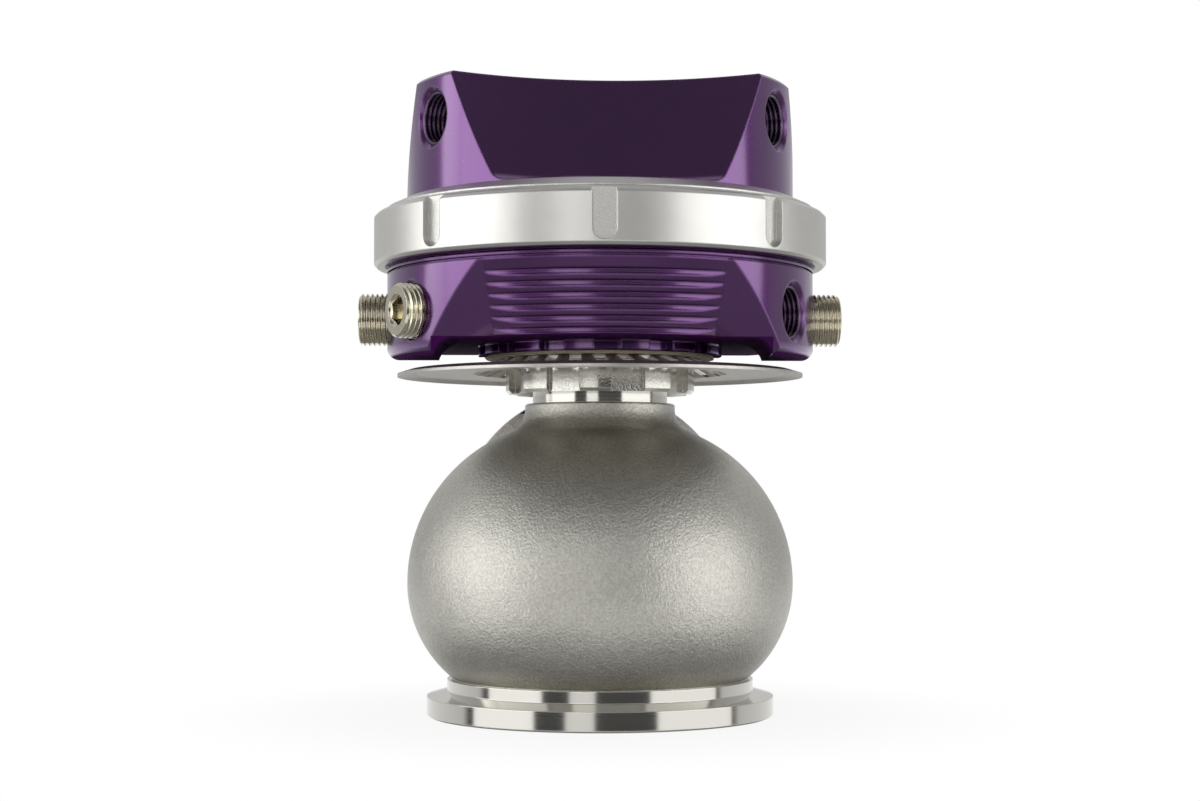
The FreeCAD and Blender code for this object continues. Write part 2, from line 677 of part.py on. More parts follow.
def make_lock_nut():
    body = new_body("nut_turning")
    bore = s.spigot_radius + s.fit_gap
    edge = s.rim_chamfer * 2
    turned(body, "nut_blank", [
        (bore, s.nut_bottom),
        (s.nut_radius - edge, s.nut_bottom),
        (s.nut_radius, s.nut_bottom + edge),
        (s.nut_radius, s.nut_top - s.rim_chamfer),
        (s.nut_radius - s.rim_chamfer, s.nut_top),
        (bore, s.nut_top),
    ])
    doc.recompute()
    slots_from_below(body, "nut_slot",
                     slot_outline(s.nut_slot_floor, s.nut_radius + s.overrun, s.nut_slot_width),
                     s.nut_top, s.nut_lug_count)
    return node("lock_nut", body, s.nut_turn + FRONT + as_size(180) / s.nut_lug_count)


def make_heat_shield():
    body = new_body("shield_pressing")
    bore = s.spigot_radius + s.clearance
    crown = s.shield_crown
    plate = crown - s.shield_plate_drop
    rim = crown - s.shield_rim_drop
    knee_radius = s.shield_rim_radius - s.shield_knee
    sheet_up = s.shield_sheet
    turned(body, "shield_sheet_form", [
        (bore, crown),
        (s.shield_crown_radius, crown),
        (s.shield_cone_radius, plate),
        (knee_radius, plate),
        (s.shield_rim_radius, rim),
        (s.shield_rim_radius, rim + sheet_up),
        (knee_radius, plate + sheet_up),
        (s.shield_cone_radius + sheet_up / 3, plate + sheet_up),
        (s.shield_crown_radius + sheet_up / 3, crown + sheet_up),
        (bore, crown + sheet_up),
    ])
    doc.recompute()
    slant = Size(tan(radians(s.louvre_slant.value)), "tan(%s * 1 deg)" % s.louvre_slant.text)
    shift = (s.shield_cone_radius - s.shield_crown_radius) * slant / 2
    half = s.louvre_width / 2
    near = s.shield_crown_radius + s.rim_chamfer
    far = s.shield_cone_radius + s.rim_chamfer
    slots_from_below(body, "louvre", [
        (near, -half - shift),
        (far, -half + shift),
        (far, half + shift),
        (near, half - shift),
    ], s.nut_top + s.shield_sheet * 2, s.louvre_count)
    return node("heat_shield", body)


def make_insulator():
    return ring("insulator_washer", s.spigot_radius + s.clearance, s.insulator_radius,
                s.insulator_bottom, s.insulator_bottom + s.insulator_sheet)


# Scoops: a tilted cylinder cuts each concave panel

def scoop_cylinder(name, mid, mid_height, slope, lean, arc):
    """A tilted cylinder whose near side makes a concave panel that faces +X.

    mid is the panel's distance from the stem at mid_height, slope its run per millimetre
    of height, outward where lean is 1 and inward where it is -1, and arc its radius as
    seen from above.
    """
    tilt = atan(slope.value)
    tilt_text = "atan(%s)" % slope.text
    across = Size(cos(tilt), "cos(%s)" % tilt_text)
    rise = Size(sin(tilt), "sin(%s)" % tilt_text)
    radius = arc / across
    length = radius * 4
    piece = doc.addObject("Part::Cylinder", name)
    bind(piece, "Radius", radius)
    bind(piece, "Height", length)
    piece.Placement = Placement(Vector(0, 0, 0), Rotation(Vector(0, lean, 0), tilt * 180 / pi))
    bind(piece, "Placement.Rotation.Angle", Size(tilt, tilt_text))
    bind(piece, "Placement.Base.x", mid + radius / across - rise * length / 2 * lean)
    bind(piece, "Placement.Base.z", mid_height - across * length / 2)
    return piece


def slab(name, low, high, half_side):
    """A square block about the stem between two heights."""
    piece = doc.addObject("Part::Box", name)
    bind(piece, "Length", half_side * 2)
    bind(piece, "Width", half_side * 2)
    bind(piece, "Height", high - low)
    bind(piece, "Placement.Base.x", -half_side)
    bind(piece, "Placement.Base.y", -half_side)
    bind(piece, "Placement.Base.z", low)
    return piece


def make_scoop_tool(name, tilted, band, corner, corner_height):
    """The part of the tilted cylinder inside a band of heights, with a rounded lower edge."""
    tool = boolean("Common", name + "_band", tilted, band)
    doc.recompute()
    rounded = doc.addObject("Part::Fillet", name)
    rounded.Base = tool
    picked = []
    for number, edge in enumerate(tool.Shape.Edges, start=1):
        heights = [vertex.Point.z for vertex in edge.Vertexes]
        if heights and max(abs(z - corner_height.value) for z in heights) < 0.01:
            picked.append((number, corner.value, corner.value))
    rounded.Edges = picked
    doc.recompute()
    return rounded


# Lower housing

def port_tool(name, angle, height, outer, passage_reach, passage_height):
    """A threaded port: mouth chamfer, thread bore and a drilled way inward."""
    mouth = s.port_mouth_radius - s.port_radius
    parts = []
    bore = doc.addObject("Part::Cylinder", name + "_bore")
    bind(bore, "Radius", s.port_radius)
    bind(bore, "Height", s.port_depth + s.plug_grip)
    parts.append((bore, outer - s.port_depth, height))
    cone = doc.addObject("Part::Cone", name + "_mouth")
    bind(cone, "Radius1", s.port_radius)
    bind(cone, "Radius2", s.port_mouth_radius + s.overrun)
    bind(cone, "Height", mouth + s.overrun)
    parts.append((cone, outer - mouth, height))
    way = doc.addObject("Part::Cylinder", name + "_way")
    bind(way, "Radius", s.port_passage_radius)
    bind(way, "Height", outer - s.port_depth - passage_reach + s.overrun)
    parts.append((way, passage_reach, passage_height))
    along = Rotation(Vector(0, 1, 0), 90)
    for piece, reach, level in parts:
        piece.Placement = Placement(Vector(0, 0, 0), along)
        bind(piece, "Placement.Base.x", reach)
        bind(piece, "Placement.Base.z", level)
    group = gather(name + "_tool", [piece for piece, _, _ in parts])
    doc.recompute()
    return turned_copy(name, group, angle)


def port_turn(angle, side):
    """Angle about the stem of a port, from the front toward the right or the left."""
    return as_size(FRONT) + angle * side


def fin_cutter(name, index, side):
    """One groove of the finned wall, flatter than the wall so that it runs out at both ends."""
    middle = s.housing_underside + s.first_fin + s.fin_pitch * index
    floor_mid = s.drum_radius + (middle - s.housing_underside) * s.drum_slope - s.fin_depth
    outer = doc.addObject("Part::Box", name + "_outer")
    bind(outer, "Length", s.fin_reach * 2)
    bind(outer, "Width", s.pad_radius * 2)
    bind(outer, "Height", s.fin_gap)
    bind(outer, "Placement.Base.x", -s.fin_reach)
    bind(outer, "Placement.Base.y", -s.pad_radius * (1 + side))
    bind(outer, "Placement.Base.z", middle - s.fin_gap / 2)
    inner = cylinder(name + "_inner", floor_mid + s.fin_setback, s.fin_gap,
                     middle - s.fin_gap / 2)
    bind(inner, "Placement.Base.y", s.fin_setback * side)
    return boolean("Cut", name, outer, inner)


def pad_face_cutter(foot):
    """All that lies before the pads' sloped front face."""
    tilt = atan(s.pad_face_slope.value)
    reach = s.pad_radius * 2
    piece = doc.addObject("Part::Box", "pad_face")
    bind(piece, "Length", reach)
    bind(piece, "Width", reach * 2)
    bind(piece, "Height", reach * 2)
    lean = Size(tilt, "atan(%s)" % s.pad_face_slope.text)
    across = Size(cos(tilt), "cos(%s)" % lean.text)
    rise = Size(sin(tilt), "sin(%s)" % lean.text)
    piece.Placement = Placement(Vector(0, 0, 0), Rotation(Vector(0, 1, 0), tilt * 180 / pi))
    bind(piece, "Placement.Rotation.Angle", lean)
    bind(piece, "Placement.Base.x", s.pad_face_reach - rise * reach)
    bind(piece, "Placement.Base.y", -reach)
    bind(piece, "Placement.Base.z", foot - across * reach)
    band = slab("pad_face_band", foot - s.overrun, s.pad_top, reach)
    return boolean("Common", "pad_face_room", piece, band)


def foot_cutter(foot):
    """The room between the pads' feet, with a cove along each foot."""
    half = s.pad_radius - s.pad_foot_width
    cove = s.pad_foot_round
    body = new_body("foot_room")
    sketch = draw(new_sketch(body, "foot_room_outline", "XZ_Plane"), [
        (-half, foot - s.overrun - cove),
        (half, foot - s.overrun - cove),
        (half, s.housing_underside - cove, cove, 1),
        (half - cove, s.housing_underside),
        (cove - half, s.housing_underside, cove, 1),
        (-half, s.housing_underside - cove),
    ])
    pad = body.newObject("PartDesign::Pad", "foot_room_length")
    pad.Profile = sketch
    bind(pad, "Length", s.pad_radius * 4)
    pad.Midplane = True
    return body


def make_lower_housing():
    floor = s.housing_bottom
    underside = s.housing_underside
    foot = underside - s.pad_foot_drop
    groove_top = s.pad_top + s.rim_groove_height
    band_top = groove_top + s.rim_band_height
    neck = s.pad_radius - s.rim_groove_depth
    drum_top = s.drum_radius + s.pad_height * s.drum_slope
    pads = new_body("housing_pads")
    turned(pads, "pads_blank", [
        (s.boss_radius, foot),
        (s.pad_radius - s.pad_edge_round, foot, s.pad_edge_round, 1),
        (s.pad_radius, foot + s.pad_edge_round),
        (s.pad_radius, s.pad_top),
        (s.boss_radius, s.pad_top),
    ])
    rear = doc.addObject("Part::Box", "foot_end")
    bind(rear, "Length", s.pad_radius * 4)
    bind(rear, "Width", s.pad_radius * 2)
    bind(rear, "Height", s.pad_foot_drop)
    bind(rear, "Placement.Base.x", s.pad_radius * -2)
    bind(rear, "Placement.Base.y", -s.pad_foot_rear)
    bind(rear, "Placement.Base.z", foot)
    face = pad_face_cutter(foot)
    faces = [turned_copy("front_face", face, FRONT), turned_copy("rear_face", face, -FRONT)]
    pads_cut = boolean("Cut", "pads_cut", pads,
                       gather("pads_tools", [rear, foot_cutter(foot)] + faces))
    drum = new_body("housing_drum")
    turned(drum, "drum_wall", [
        (s.boss_slot_floor, floor),
        (s.boss_radius, floor),
        (s.boss_radius, underside),
        (s.drum_radius - s.drum_edge, underside),
        (s.drum_radius + s.drum_edge * s.drum_slope, underside + s.drum_edge),
        (drum_top, s.pad_top),
        (neck, s.pad_top),
        (neck, groove_top),
        (s.pad_radius, groove_top),
        (s.pad_radius, band_top),
        (neck, band_top + s.rim_groove_height),
        (s.housing_thread_radius, band_top + s.rim_groove_height * 2),
        (s.housing_thread_radius, s.housing_top),
        (s.boss_slot_floor, s.housing_top),
    ])
    cutters = []
    for index in range(int(s.fin_count.value)):
        for side, word in ((1, "front"), (-1, "rear")):
            cutters.append(fin_cutter("%s_fin_%d" % (word, index + 1), index, side))
    drum_cut = boolean("Cut", "drum_finned", drum, gather("fin_tools", cutters))
    joined = boolean("Fuse", "housing_solid", drum_cut, pads_cut)
    hub = new_body("housing_hub")
    turned(hub, "hub_floor", [
        (s.spigot_radius + s.fit_gap, floor),
        (s.boss_slot_floor + s.overrun, floor),
        (s.boss_slot_floor + s.overrun, s.housing_floor),
        (s.spigot_radius + s.fit_gap, s.housing_floor),
    ])
    whole = boolean("Fuse", "housing_whole", joined, hub)
    tools = [cylinder("housing_chamber", s.housing_bore_radius,
                      s.housing_top - s.housing_floor + s.overrun, s.housing_floor)]
    ports = (("front_left", s.front_port_angle, -1), ("front_right", s.front_port_angle, 1),
             ("side_left", s.side_port_angle, -1), ("side_right", s.side_port_angle, 1))
    for word, angle, side in ports:
        tools.append(port_tool("housing_port_" + word, port_turn(angle, side), s.port_height,
                               s.pad_radius, s.housing_bore_radius - s.overrun,
                               s.port_height))
    step = as_size(360) / s.boss_lug_count
    turn = s.boss_turn + FRONT + step / 2
    slot = new_body("boss_slots_blank")
    sketch = draw(new_sketch(slot, "boss_slot_outline", "XY_Plane"),
                  slot_outline(s.boss_slot_floor, s.boss_radius + s.overrun,
                               s.boss_slot_width))
    bind(sketch, "AttachmentOffset.Base.z", floor - s.overrun)
    pad = slot.newObject("PartDesign::Pad", "boss_slot")
    pad.Profile = sketch
    bind(pad, "Length", s.boss_height + s.overrun)
    doc.recompute()
    for index in range(int(s.boss_lug_count.value)):
        tools.append(turned_copy("boss_slot_%d" % (index + 1), slot, turn + step * index))
    housing = boolean("Cut", "housing_cut", whole, gather("housing_tools", tools))
    return node("lower_housing", housing, s.housing_turn)


def make_port_plugs():
    for word, angle, side, stand in (("left_front", s.front_port_angle, -1, s.front_plug_stand),
                                     ("left_rear", s.side_port_angle, -1, s.side_plug_stand),
                                     ("right_rear", s.side_port_angle, 1, s.side_plug_stand)):
        body = new_body("plug_" + word)
        inner = s.port_radius - s.fit_gap
        start = s.pad_radius - s.plug_grip
        mouth = s.port_mouth_radius - s.port_radius
        end = s.pad_radius + stand
        turned(body, "plug_thread_" + word, [
            (start, 0),
            (end, 0),
            (end, s.plug_radius - s.rim_chamfer * 2),
            (end - s.rim_chamfer * 2, s.plug_radius),
            (s.pad_radius - mouth + s.clearance, s.plug_radius),
            (s.pad_radius - mouth, inner),
            (start + s.rim_chamfer, inner),
            (start, inner - s.rim_chamfer),
        ], role="XZ_Plane", axis="H_Axis")
        doc.recompute()
        sketch = new_sketch(body, "socket_outline_" + word, "YZ_Plane")
        bind(sketch, "AttachmentOffset.Base.z", end)
        draw(sketch, hexagon(s.plug_socket_flats))
        socket = body.newObject("PartDesign::Pocket", "socket_" + word)
        socket.Profile = sketch
        bind(socket, "Length", s.plug_socket_depth)
        plug = node("port_plug_" + word, body, port_turn(angle, side) + s.housing_turn)
        bind(plug, "Placement.Base.z", s.port_height)


# Diaphragm and the plates on the stem

def make_diaphragm_stack():
    bore = s.stem_thread_radius + s.fit_gap
    piston_top = s.piston_bottom + s.piston_thickness
    sheet_top = piston_top + s.diaphragm_sheet
    body = new_body("piston_turning")
    turned(body, "piston_plate", [
        (bore, s.piston_bottom + s.fit_gap),
        (s.piston_radius - s.piston_thickness, s.piston_bottom + s.fit_gap),
        (s.piston_radius, s.piston_bottom + s.fit_gap + s.piston_thickness / 2),
        (s.piston_radius, piston_top - s.rim_chamfer * 2),
        (s.piston_radius - s.rim_chamfer * 2, piston_top),
        (bore, piston_top),
    ])
    node("piston", body)
    gap = s.fit_gap
    rubber = new_body("diaphragm_moulding")
    wall = s.diaphragm_wall_radius
    thick = s.diaphragm_sheet - gap * 2
    rim_bottom = s.housing_top
    rim_top = s.housing_top + s.diaphragm_rim_sheet
    low = piston_top + gap
    roll = wall - s.piston_radius
    turned(rubber, "diaphragm_form", [
        (bore, low),
        (s.piston_radius - thick, low),
        (wall - thick, low + roll),
        (wall, rim_bottom),
        (s.diaphragm_rim_radius, rim_bottom),
        (s.diaphragm_rim_radius, rim_top),
        (wall - thick, rim_top),
        (wall - thick * 2, low + roll + thick / 2),
        (s.piston_radius - thick * 1.6, low + thick),
        (bore, low + thick),
    ])
    node("diaphragm", rubber)
    cup = new_body("spring_cup_pressing")
    floor_top = sheet_top + s.cup_floor
    turned(cup, "spring_cup_form", [
        (bore, sheet_top),
        (s.cup_radius, sheet_top),
        (s.cup_radius, floor_top + s.cup_lip),
        (s.cup_radius - s.cup_floor, floor_top + s.cup_lip),
        (s.cup_radius - s.cup_floor * 2, floor_top),
        (bore, floor_top),
    ])
    node("spring_cup", cup)
    washer_bottom = floor_top + gap
    washer_top = washer_bottom + s.washer_height
    ring("stem_washer", bore, s.washer_radius, washer_bottom, washer_top)
    nut = new_body("stem_nut_bar")
    sketch = new_sketch(nut, "stem_nut_outline", "XY_Plane")
    bind(sketch, "AttachmentOffset.Base.z", washer_top + gap)
    draw(sketch, hexagon(s.stem_nut_flats))
    circle(sketch, bore)
    pad = nut.newObject("PartDesign::Pad", "stem_nut_pad")
    pad.Profile = sketch
    bind(pad, "Length", s.stem_nut_height)
    node("stem_nut", nut)
    return floor_top


WIRE_FLATS = 8


def make_spring(name, radius, wire, pitch, bottom, top):
    """A compression spring with its two ends ground flat.

    The wire has eight flats and the area of the round wire.
    """
    past_end = wire / 4
    corner = wire / 2 * sqrt(2 * pi / (WIRE_FLATS * sin(2 * pi / WIRE_FLATS)))
    helix = doc.addObject("Part::Helix", name + "_line")
    bind(helix, "Radius", radius)
    bind(helix, "Pitch", pitch)
    bind(helix, "Height", top - bottom + past_end * 2)
    bind(helix, "Placement.Base.z", -past_end)
    section = doc.addObject("Part::RegularPolygon", name + "_section")
    section.Polygon = WIRE_FLATS
    bind(section, "Circumradius", corner)
    section.Placement = Placement(Vector(0, 0, 0), Rotation(Vector(1, 0, 0), 90))
    bind(section, "Placement.Base.x", radius)
    bind(section, "Placement.Base.z", -past_end)
    sweep = doc.addObject("Part::Sweep", name + "_coil")
    sweep.Sections = [section]
    sweep.Spine = (helix, [])
    sweep.Solid = True
    sweep.Frenet = True
    grind = cylinder(name + "_grind", radius + wire, top - bottom, 0)
    ground = boolean("Common", name + "_ground", sweep, grind)
    bind(ground, "Placement.Base.z", bottom)
    node(name, ground)


def make_springs(cup_top):
    bottom = cup_top + s.seat_gap
    make_spring("outer_spring", s.outer_spring_radius, s.outer_spring_wire,
                s.outer_spring_pitch, bottom, s.outer_spring_top - s.seat_gap)
    make_spring("middle_spring", s.middle_spring_radius, s.middle_spring_wire,
                s.middle_spring_pitch, bottom, s.inner_spring_top - s.seat_gap)
    make_spring("inner_spring", s.inner_spring_radius, s.inner_spring_wire,
                s.inner_spring_pitch, bottom, s.inner_spring_top - s.seat_gap)


# Cap

def make_cap():
    blank = new_body("cap_turning")
    bore_top = s.cap_flange_top + s.cap_bore_rise
    turned(blank, "cap_blank", [
        (0, s.cap_flange_bottom),
        (s.cap_flange_radius, s.cap_flange_bottom),
        (s.cap_flange_radius, s.cap_flange_top),
        (s.cap_radius, s.cap_flange_top),
        (s.cap_radius, s.cap_top - s.cap_edge),
        (s.cap_radius - s.cap_edge, s.cap_top),
        (0, s.cap_top),
    ])
    turned(blank, "spring_chamber", [
        (0, s.cap_flange_bottom),
        (s.cap_bore_radius, s.cap_flange_bottom),
        (s.cap_bore_radius, bore_top),
        (s.cap_cone_radius, bore_top),
        (s.cap_spring_radius, s.outer_spring_top),
        (s.cap_pocket_radius, s.outer_spring_top),
        (s.cap_pocket_radius, s.inner_spring_top),
        (0, s.inner_spring_top),
    ], cut=True)
    tilted = scoop_cylinder("cap_scoop", s.cap_scoop_mid, s.cap_top,
                            s.cap_scoop_slope, -1, s.scoop_arc)
    band = slab("cap_scoop_band", s.cap_ledge, s.cap_top + s.overrun, s.collar_radius * 3)
    scoop = make_scoop_tool("cap_scoop_tool", tilted, band, s.scoop_corner, s.cap_ledge)
    tools = []
    for index in range(3):
        tools.append(turned_copy("cap_scoop_%d" % (index + 1), scoop, FRONT + 120.0 * index))
    for word, side in (("left", -1), ("right", 1)):
        tools.append(port_tool("cap_port_" + word, port_turn(s.lobe_angle, side),
                               s.cap_port_height, s.cap_radius,
                               s.cap_spring_radius - s.overrun,
                               s.cap_port_height - s.cap_passage_drop))
    cap = boolean("Cut", "cap_cut", blank, gather("cap_tools", tools))
    return node("cap", cap, s.cap_turn)


# Collar

def make_collar():
    body = new_body("collar_turning")
    lip_bottom = s.collar_lip_bottom
    step_height = lip_bottom + s.collar_step_rise
    slot_bottom = s.collar_bottom + s.spanner_slot_rise
    turned(body, "collar_blank", [
        (s.collar_thread_radius + s.collar_edge, s.collar_bottom),
        (s.collar_radius - s.collar_edge, s.collar_bottom),
        (s.collar_radius, s.collar_bottom + s.collar_edge),
        (s.collar_radius, lip_bottom),
        (s.collar_radius - s.collar_edge, lip_bottom + s.collar_edge),
        (s.collar_step_radius, step_height),
        (s.collar_step_radius, step_height + s.collar_step),
        (s.collar_lip_radius + s.rim_chamfer, s.collar_top),
        (s.collar_lip_radius, s.collar_top - s.rim_chamfer),
        (s.collar_lip_radius, lip_bottom),
        (s.collar_thread_radius, lip_bottom),
        (s.collar_thread_radius, s.collar_bottom + s.collar_edge),
    ])
    doc.recompute()
    half = s.spanner_slot_width / 2
    sketch = new_sketch(body, "spanner_slot_outline", "XZ_Plane")
    bind(sketch, "AttachmentOffset.Base.z", s.collar_radius - s.spanner_slot_depth)
    draw(sketch, [
        (-half, s.collar_top),
        (-half, slot_bottom + half, half, 1),
        (0, slot_bottom, half, 1),
        (half, slot_bottom + half),
        (half, s.collar_top),
    ])
    slot = body.newObject("PartDesign::Pocket", "spanner_slot")
    slot.Profile = sketch
    bind(slot, "Length", s.spanner_slot_depth * 2)
    slot.Reversed = True
    round_about(body, slot, s.spanner_slot_count)
    return node("collar", body)


make_valve_body()
make_valve_seat()
make_valve()
make_guide_and_seal()
make_lock_nut()
make_heat_shield()
make_insulator()
make_lower_housing()
make_port_plugs()
spring_seat = make_diaphragm_stack()
make_springs(spring_seat)
make_cap()
make_collar()
doc.recompute()

# Every feature must have worked before anything is written
for thing in doc.Objects:
    for word in ("Invalid", "Error"):
        if word in thing.State:
            raise RuntimeError("%s is %s" % (thing.Name, thing.State))
for name, piece in nodes.items():
    shape = piece.Shape
    if shape.isNull() or not shape.isValid():
        raise RuntimeError("bad shape: " + name)
for name, piece in nodes.items():
    piece.Shape.exportStep("parts/%s.step" % name)
    box = piece.Shape.BoundBox
    print("%-22s solids %d volume %10.1f  z %.2f..%.2f" % (
        name, len(piece.Shape.Solids), piece.Shape.Volume, box.ZMin, box.ZMax))
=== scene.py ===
"""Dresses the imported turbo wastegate: its finishes, its threads and plugs, its springs and
diaphragm, and a plain studio round it."""
import json
from math import cos, pi, radians, sin, sqrt

import bpy
from mathutils import Matrix, Vector


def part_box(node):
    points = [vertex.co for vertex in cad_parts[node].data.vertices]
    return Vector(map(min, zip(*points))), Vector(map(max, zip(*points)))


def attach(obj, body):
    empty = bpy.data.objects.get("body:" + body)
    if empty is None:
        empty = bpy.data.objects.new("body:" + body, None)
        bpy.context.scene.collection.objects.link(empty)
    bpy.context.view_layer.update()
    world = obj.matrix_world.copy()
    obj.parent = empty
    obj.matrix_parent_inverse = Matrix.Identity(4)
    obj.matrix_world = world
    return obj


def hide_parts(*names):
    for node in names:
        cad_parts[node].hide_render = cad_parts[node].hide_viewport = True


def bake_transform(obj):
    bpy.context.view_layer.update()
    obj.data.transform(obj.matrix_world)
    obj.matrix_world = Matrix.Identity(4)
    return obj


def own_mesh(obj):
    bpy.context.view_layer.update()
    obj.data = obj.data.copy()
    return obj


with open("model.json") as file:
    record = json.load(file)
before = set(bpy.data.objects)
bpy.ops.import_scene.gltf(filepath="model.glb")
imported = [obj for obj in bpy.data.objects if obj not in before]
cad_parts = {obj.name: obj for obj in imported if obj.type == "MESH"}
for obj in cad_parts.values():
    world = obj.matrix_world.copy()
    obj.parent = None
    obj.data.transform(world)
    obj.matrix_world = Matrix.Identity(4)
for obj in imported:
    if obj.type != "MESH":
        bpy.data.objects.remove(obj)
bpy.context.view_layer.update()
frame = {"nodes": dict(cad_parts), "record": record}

bl_info = {
    "name": "Wastegate Dressing",
    "version": (1, 0, 0),
    "blender": (4, 5, 0),
    "location": "3D View > Sidebar > Wastegate",
    "description": "Finishes, threads and a plain studio for a packed turbo wastegate",
    "category": "Object",
}

MM = 0.001
NODES = frame["nodes"]
MOUNTS = {mount["name"]: mount for mount in frame["record"]["mounts"]}


# Colours

def linear(text):
    """An sRGB hex colour as linear red, green and blue."""
    parts = [int(text[i:i + 2], 16) / 255 for i in (1, 3, 5)]
    return [c / 12.92 if c <= 0.04045 else ((c + 0.055) / 1.055) ** 2.4 for c in parts]


def rgba(colour):
    """A colour property as the four numbers that a shader socket takes."""
    return (colour[0], colour[1], colour[2], 1.0)


def colour_property(name, text, description):
    return bpy.props.FloatVectorProperty(name=name, description=description, subtype="COLOR",
                                         size=3, min=0, max=1, default=linear(text))


def length_property(name, millimetres, description):
    return bpy.props.FloatProperty(name=name, description=description, unit="LENGTH",
                                   subtype="DISTANCE", default=millimetres * MM)


def factor_property(name, value, description, top=1.0):
    return bpy.props.FloatProperty(name=name, description=description, subtype="FACTOR",
                                   min=0, max=top, default=value)


class WastegateFinishes(bpy.types.PropertyGroup):
    """Colours and gloss of each finish."""
    cast_colour: colour_property("Cast stainless", "#c9c7bf", "Blasted cast stainless steel")
    cast_roughness: factor_property("Cast roughness", 0.34, "Roughness of the blasted casting")
    turned_colour: colour_property("Turned stainless", "#d6d4cd", "Turned stainless steel")
    turned_roughness: factor_property("Turned roughness", 0.10, "Roughness of turned steel")
    dye_colour: colour_property("Purple dye", "#5a1a6c", "Dyed oxide over aluminium")
    dye_roughness: factor_property("Dyed roughness", 0.24, "Roughness of the metal under the oxide")
    collar_colour: colour_property("Satin aluminium", "#dcdbd7", "Blasted aluminium collar")
    collar_roughness: factor_property("Satin roughness", 0.36, "Roughness of the collar")
    shield_colour: colour_property("Shield steel", "#cbc7c1",
                                   "Rolled stainless sheet, dulled by heat")
    nickel_colour: colour_property("Plug nickel", "#ddd8c4", "Nickel plating, slightly yellow")
    valve_colour: colour_property("Valve steel", "#aaa59c", "Ground heat-resisting steel")
    bronze_colour: colour_property("Bronze", "#b98a52", "Turned bronze")
    spring_colour: colour_property("Spring steel", "#7d8084", "Oil-tempered spring wire")
    zinc_colour: colour_property("Zinc", "#c4c6bd", "Zinc plating")
    silicone_colour: colour_property("Silicone", "#8c3020", "Silicone rubber on fabric")
    carbon_colour: colour_property("Seal", "#26262a", "Moulded stem seal")
    fibre_colour: colour_property("Fibre", "#c9bfae", "Hard fibre sheet")


class WastegateSizes(bpy.types.PropertyGroup):
    """Sizes of what is modelled here."""
    thread_pitch: length_property("Pipe thread pitch", 0.94, "27 threads an inch")
    thread_depth: length_property("Pipe thread depth", 0.52, "Root to crest")
    socket_flats: length_property("Plug socket", 4.8, "Across the flats")
    socket_depth: length_property("Socket depth", 4.0, "Depth of the hexagonal part")
    cast_grain: length_property("Cast grain", 0.50, "Grain of the blasted casting")
    turning_feed: length_property("Turning feed", 0.30, "Tool marks, coarser than real to show")


class WastegateStudio(bpy.types.PropertyGroup):
    """Camera, floor and lamps."""
    camera_distance: length_property("Camera distance", 411.6, "From the stem, level")
    camera_height: length_property("Camera height", 44.1, "Above the inlet face")
    camera_turn: bpy.props.FloatProperty(
        name="Camera turn", description="Angle about the stem from the front, to the left",
        unit="ROTATION", default=radians(1.0))
    camera_pitch: bpy.props.FloatProperty(
        name="Camera pitch", description="How far the camera looks up", unit="ROTATION",
        default=radians(2.32))
    focal_length: bpy.props.FloatProperty(
        name="Focal length", description="Millimetres on a 36 mm wide sensor", default=63.3)
    floor_radius: length_property("Floor radius", 4000.0, "Radius of the floor")
    floor_colour: colour_property("Floor", "#f6f6f4", "Matt white paper")


# Shader helpers

MATH = "ShaderNodeMath"
RAMP = "ShaderNodeMapRange"
NOISE = "ShaderNodeTexNoise"
BUMP = "ShaderNodeBump"
BEVEL = "ShaderNodeBevel"
MIX = "ShaderNodeMix"
AXES = "ShaderNodeSeparateXYZ"
PLACE = "ShaderNodeTexCoord"
EVEN = "LINEAR"
SOFT = "SMOOTHSTEP"
EDGE_SAMPLES = 6
# Where most of a noise's values lie.
MIDDLE = (0.3, 0.7)


def add(tree, kind, links=None, **settings):
    """Adds a node. links maps a socket's name or number to a value, to another node's socket, or
    to another node, which stands for its first output."""
    made = tree.nodes.new(kind)
    for name, value in settings.items():
        setattr(made, name, value)
    for name, value in (links or {}).items():
        if isinstance(value, bpy.types.Node):
            value = value.outputs[0]
        if isinstance(value, bpy.types.NodeSocket):
            tree.links.new(value, made.inputs[name])
        else:
            made.inputs[name].default_value = value
    return made


def new_material(name):
    """An empty material and its tree."""
    material = bpy.data.materials.new(name)
    material.use_nodes = True
    material.node_tree.nodes.clear()
    return material, material.node_tree


def finish(tree, links):
    """Ends a material with one Principled surface on its output."""
    surface = add(tree, "ShaderNodeBsdfPrincipled", links)
    add(tree, "ShaderNodeOutputMaterial", {"Surface": surface})


def millimetres(tree):
    """Object coordinates in millimetres."""
    place = add(tree, PLACE).outputs["Object"]
    return add(tree, "ShaderNodeVectorMath", {0: place, "Scale": 1 / MM}, operation="SCALE")


def span(value, low, high, to_low, to_high):
    """A ramp's sockets: a value, its range and the range it becomes."""
    return {0: value, 1: low, 2: high, 3: to_low, 4: to_high}


def grains(mm, size, detail=2.0, roughness=0.5):
    """A noise's sockets, for grains of one size in millimetres."""
    return {"Vector": mm, "Scale": 1 / size, "Detail": detail, "Roughness": roughness}


def mottle(tree, pattern, low, high, dark, colour):
    """A colour and a darker shade of it, mixed by a pattern."""
    share = add(tree, RAMP, span(pattern, low, high, 0.0, 1.0))
    shades = {"Factor": share, 6: rgba([c * dark for c in colour]), 7: rgba(colour)}
    return add(tree, MIX, shades, data_type="RGBA").outputs[2]


def off_axis(tree, axes):
    """Distance from the stem's axis, in the unit of the axes."""
    across = add(tree, MATH, {0: axes[0], 1: axes[0]}, operation="MULTIPLY")
    away = add(tree, MATH, {0: axes[1], 1: axes[1]}, operation="MULTIPLY")
    squared = add(tree, MATH, {0: across, 1: away}, operation="ADD")
    return add(tree, MATH, {0: squared}, operation="SQRT")


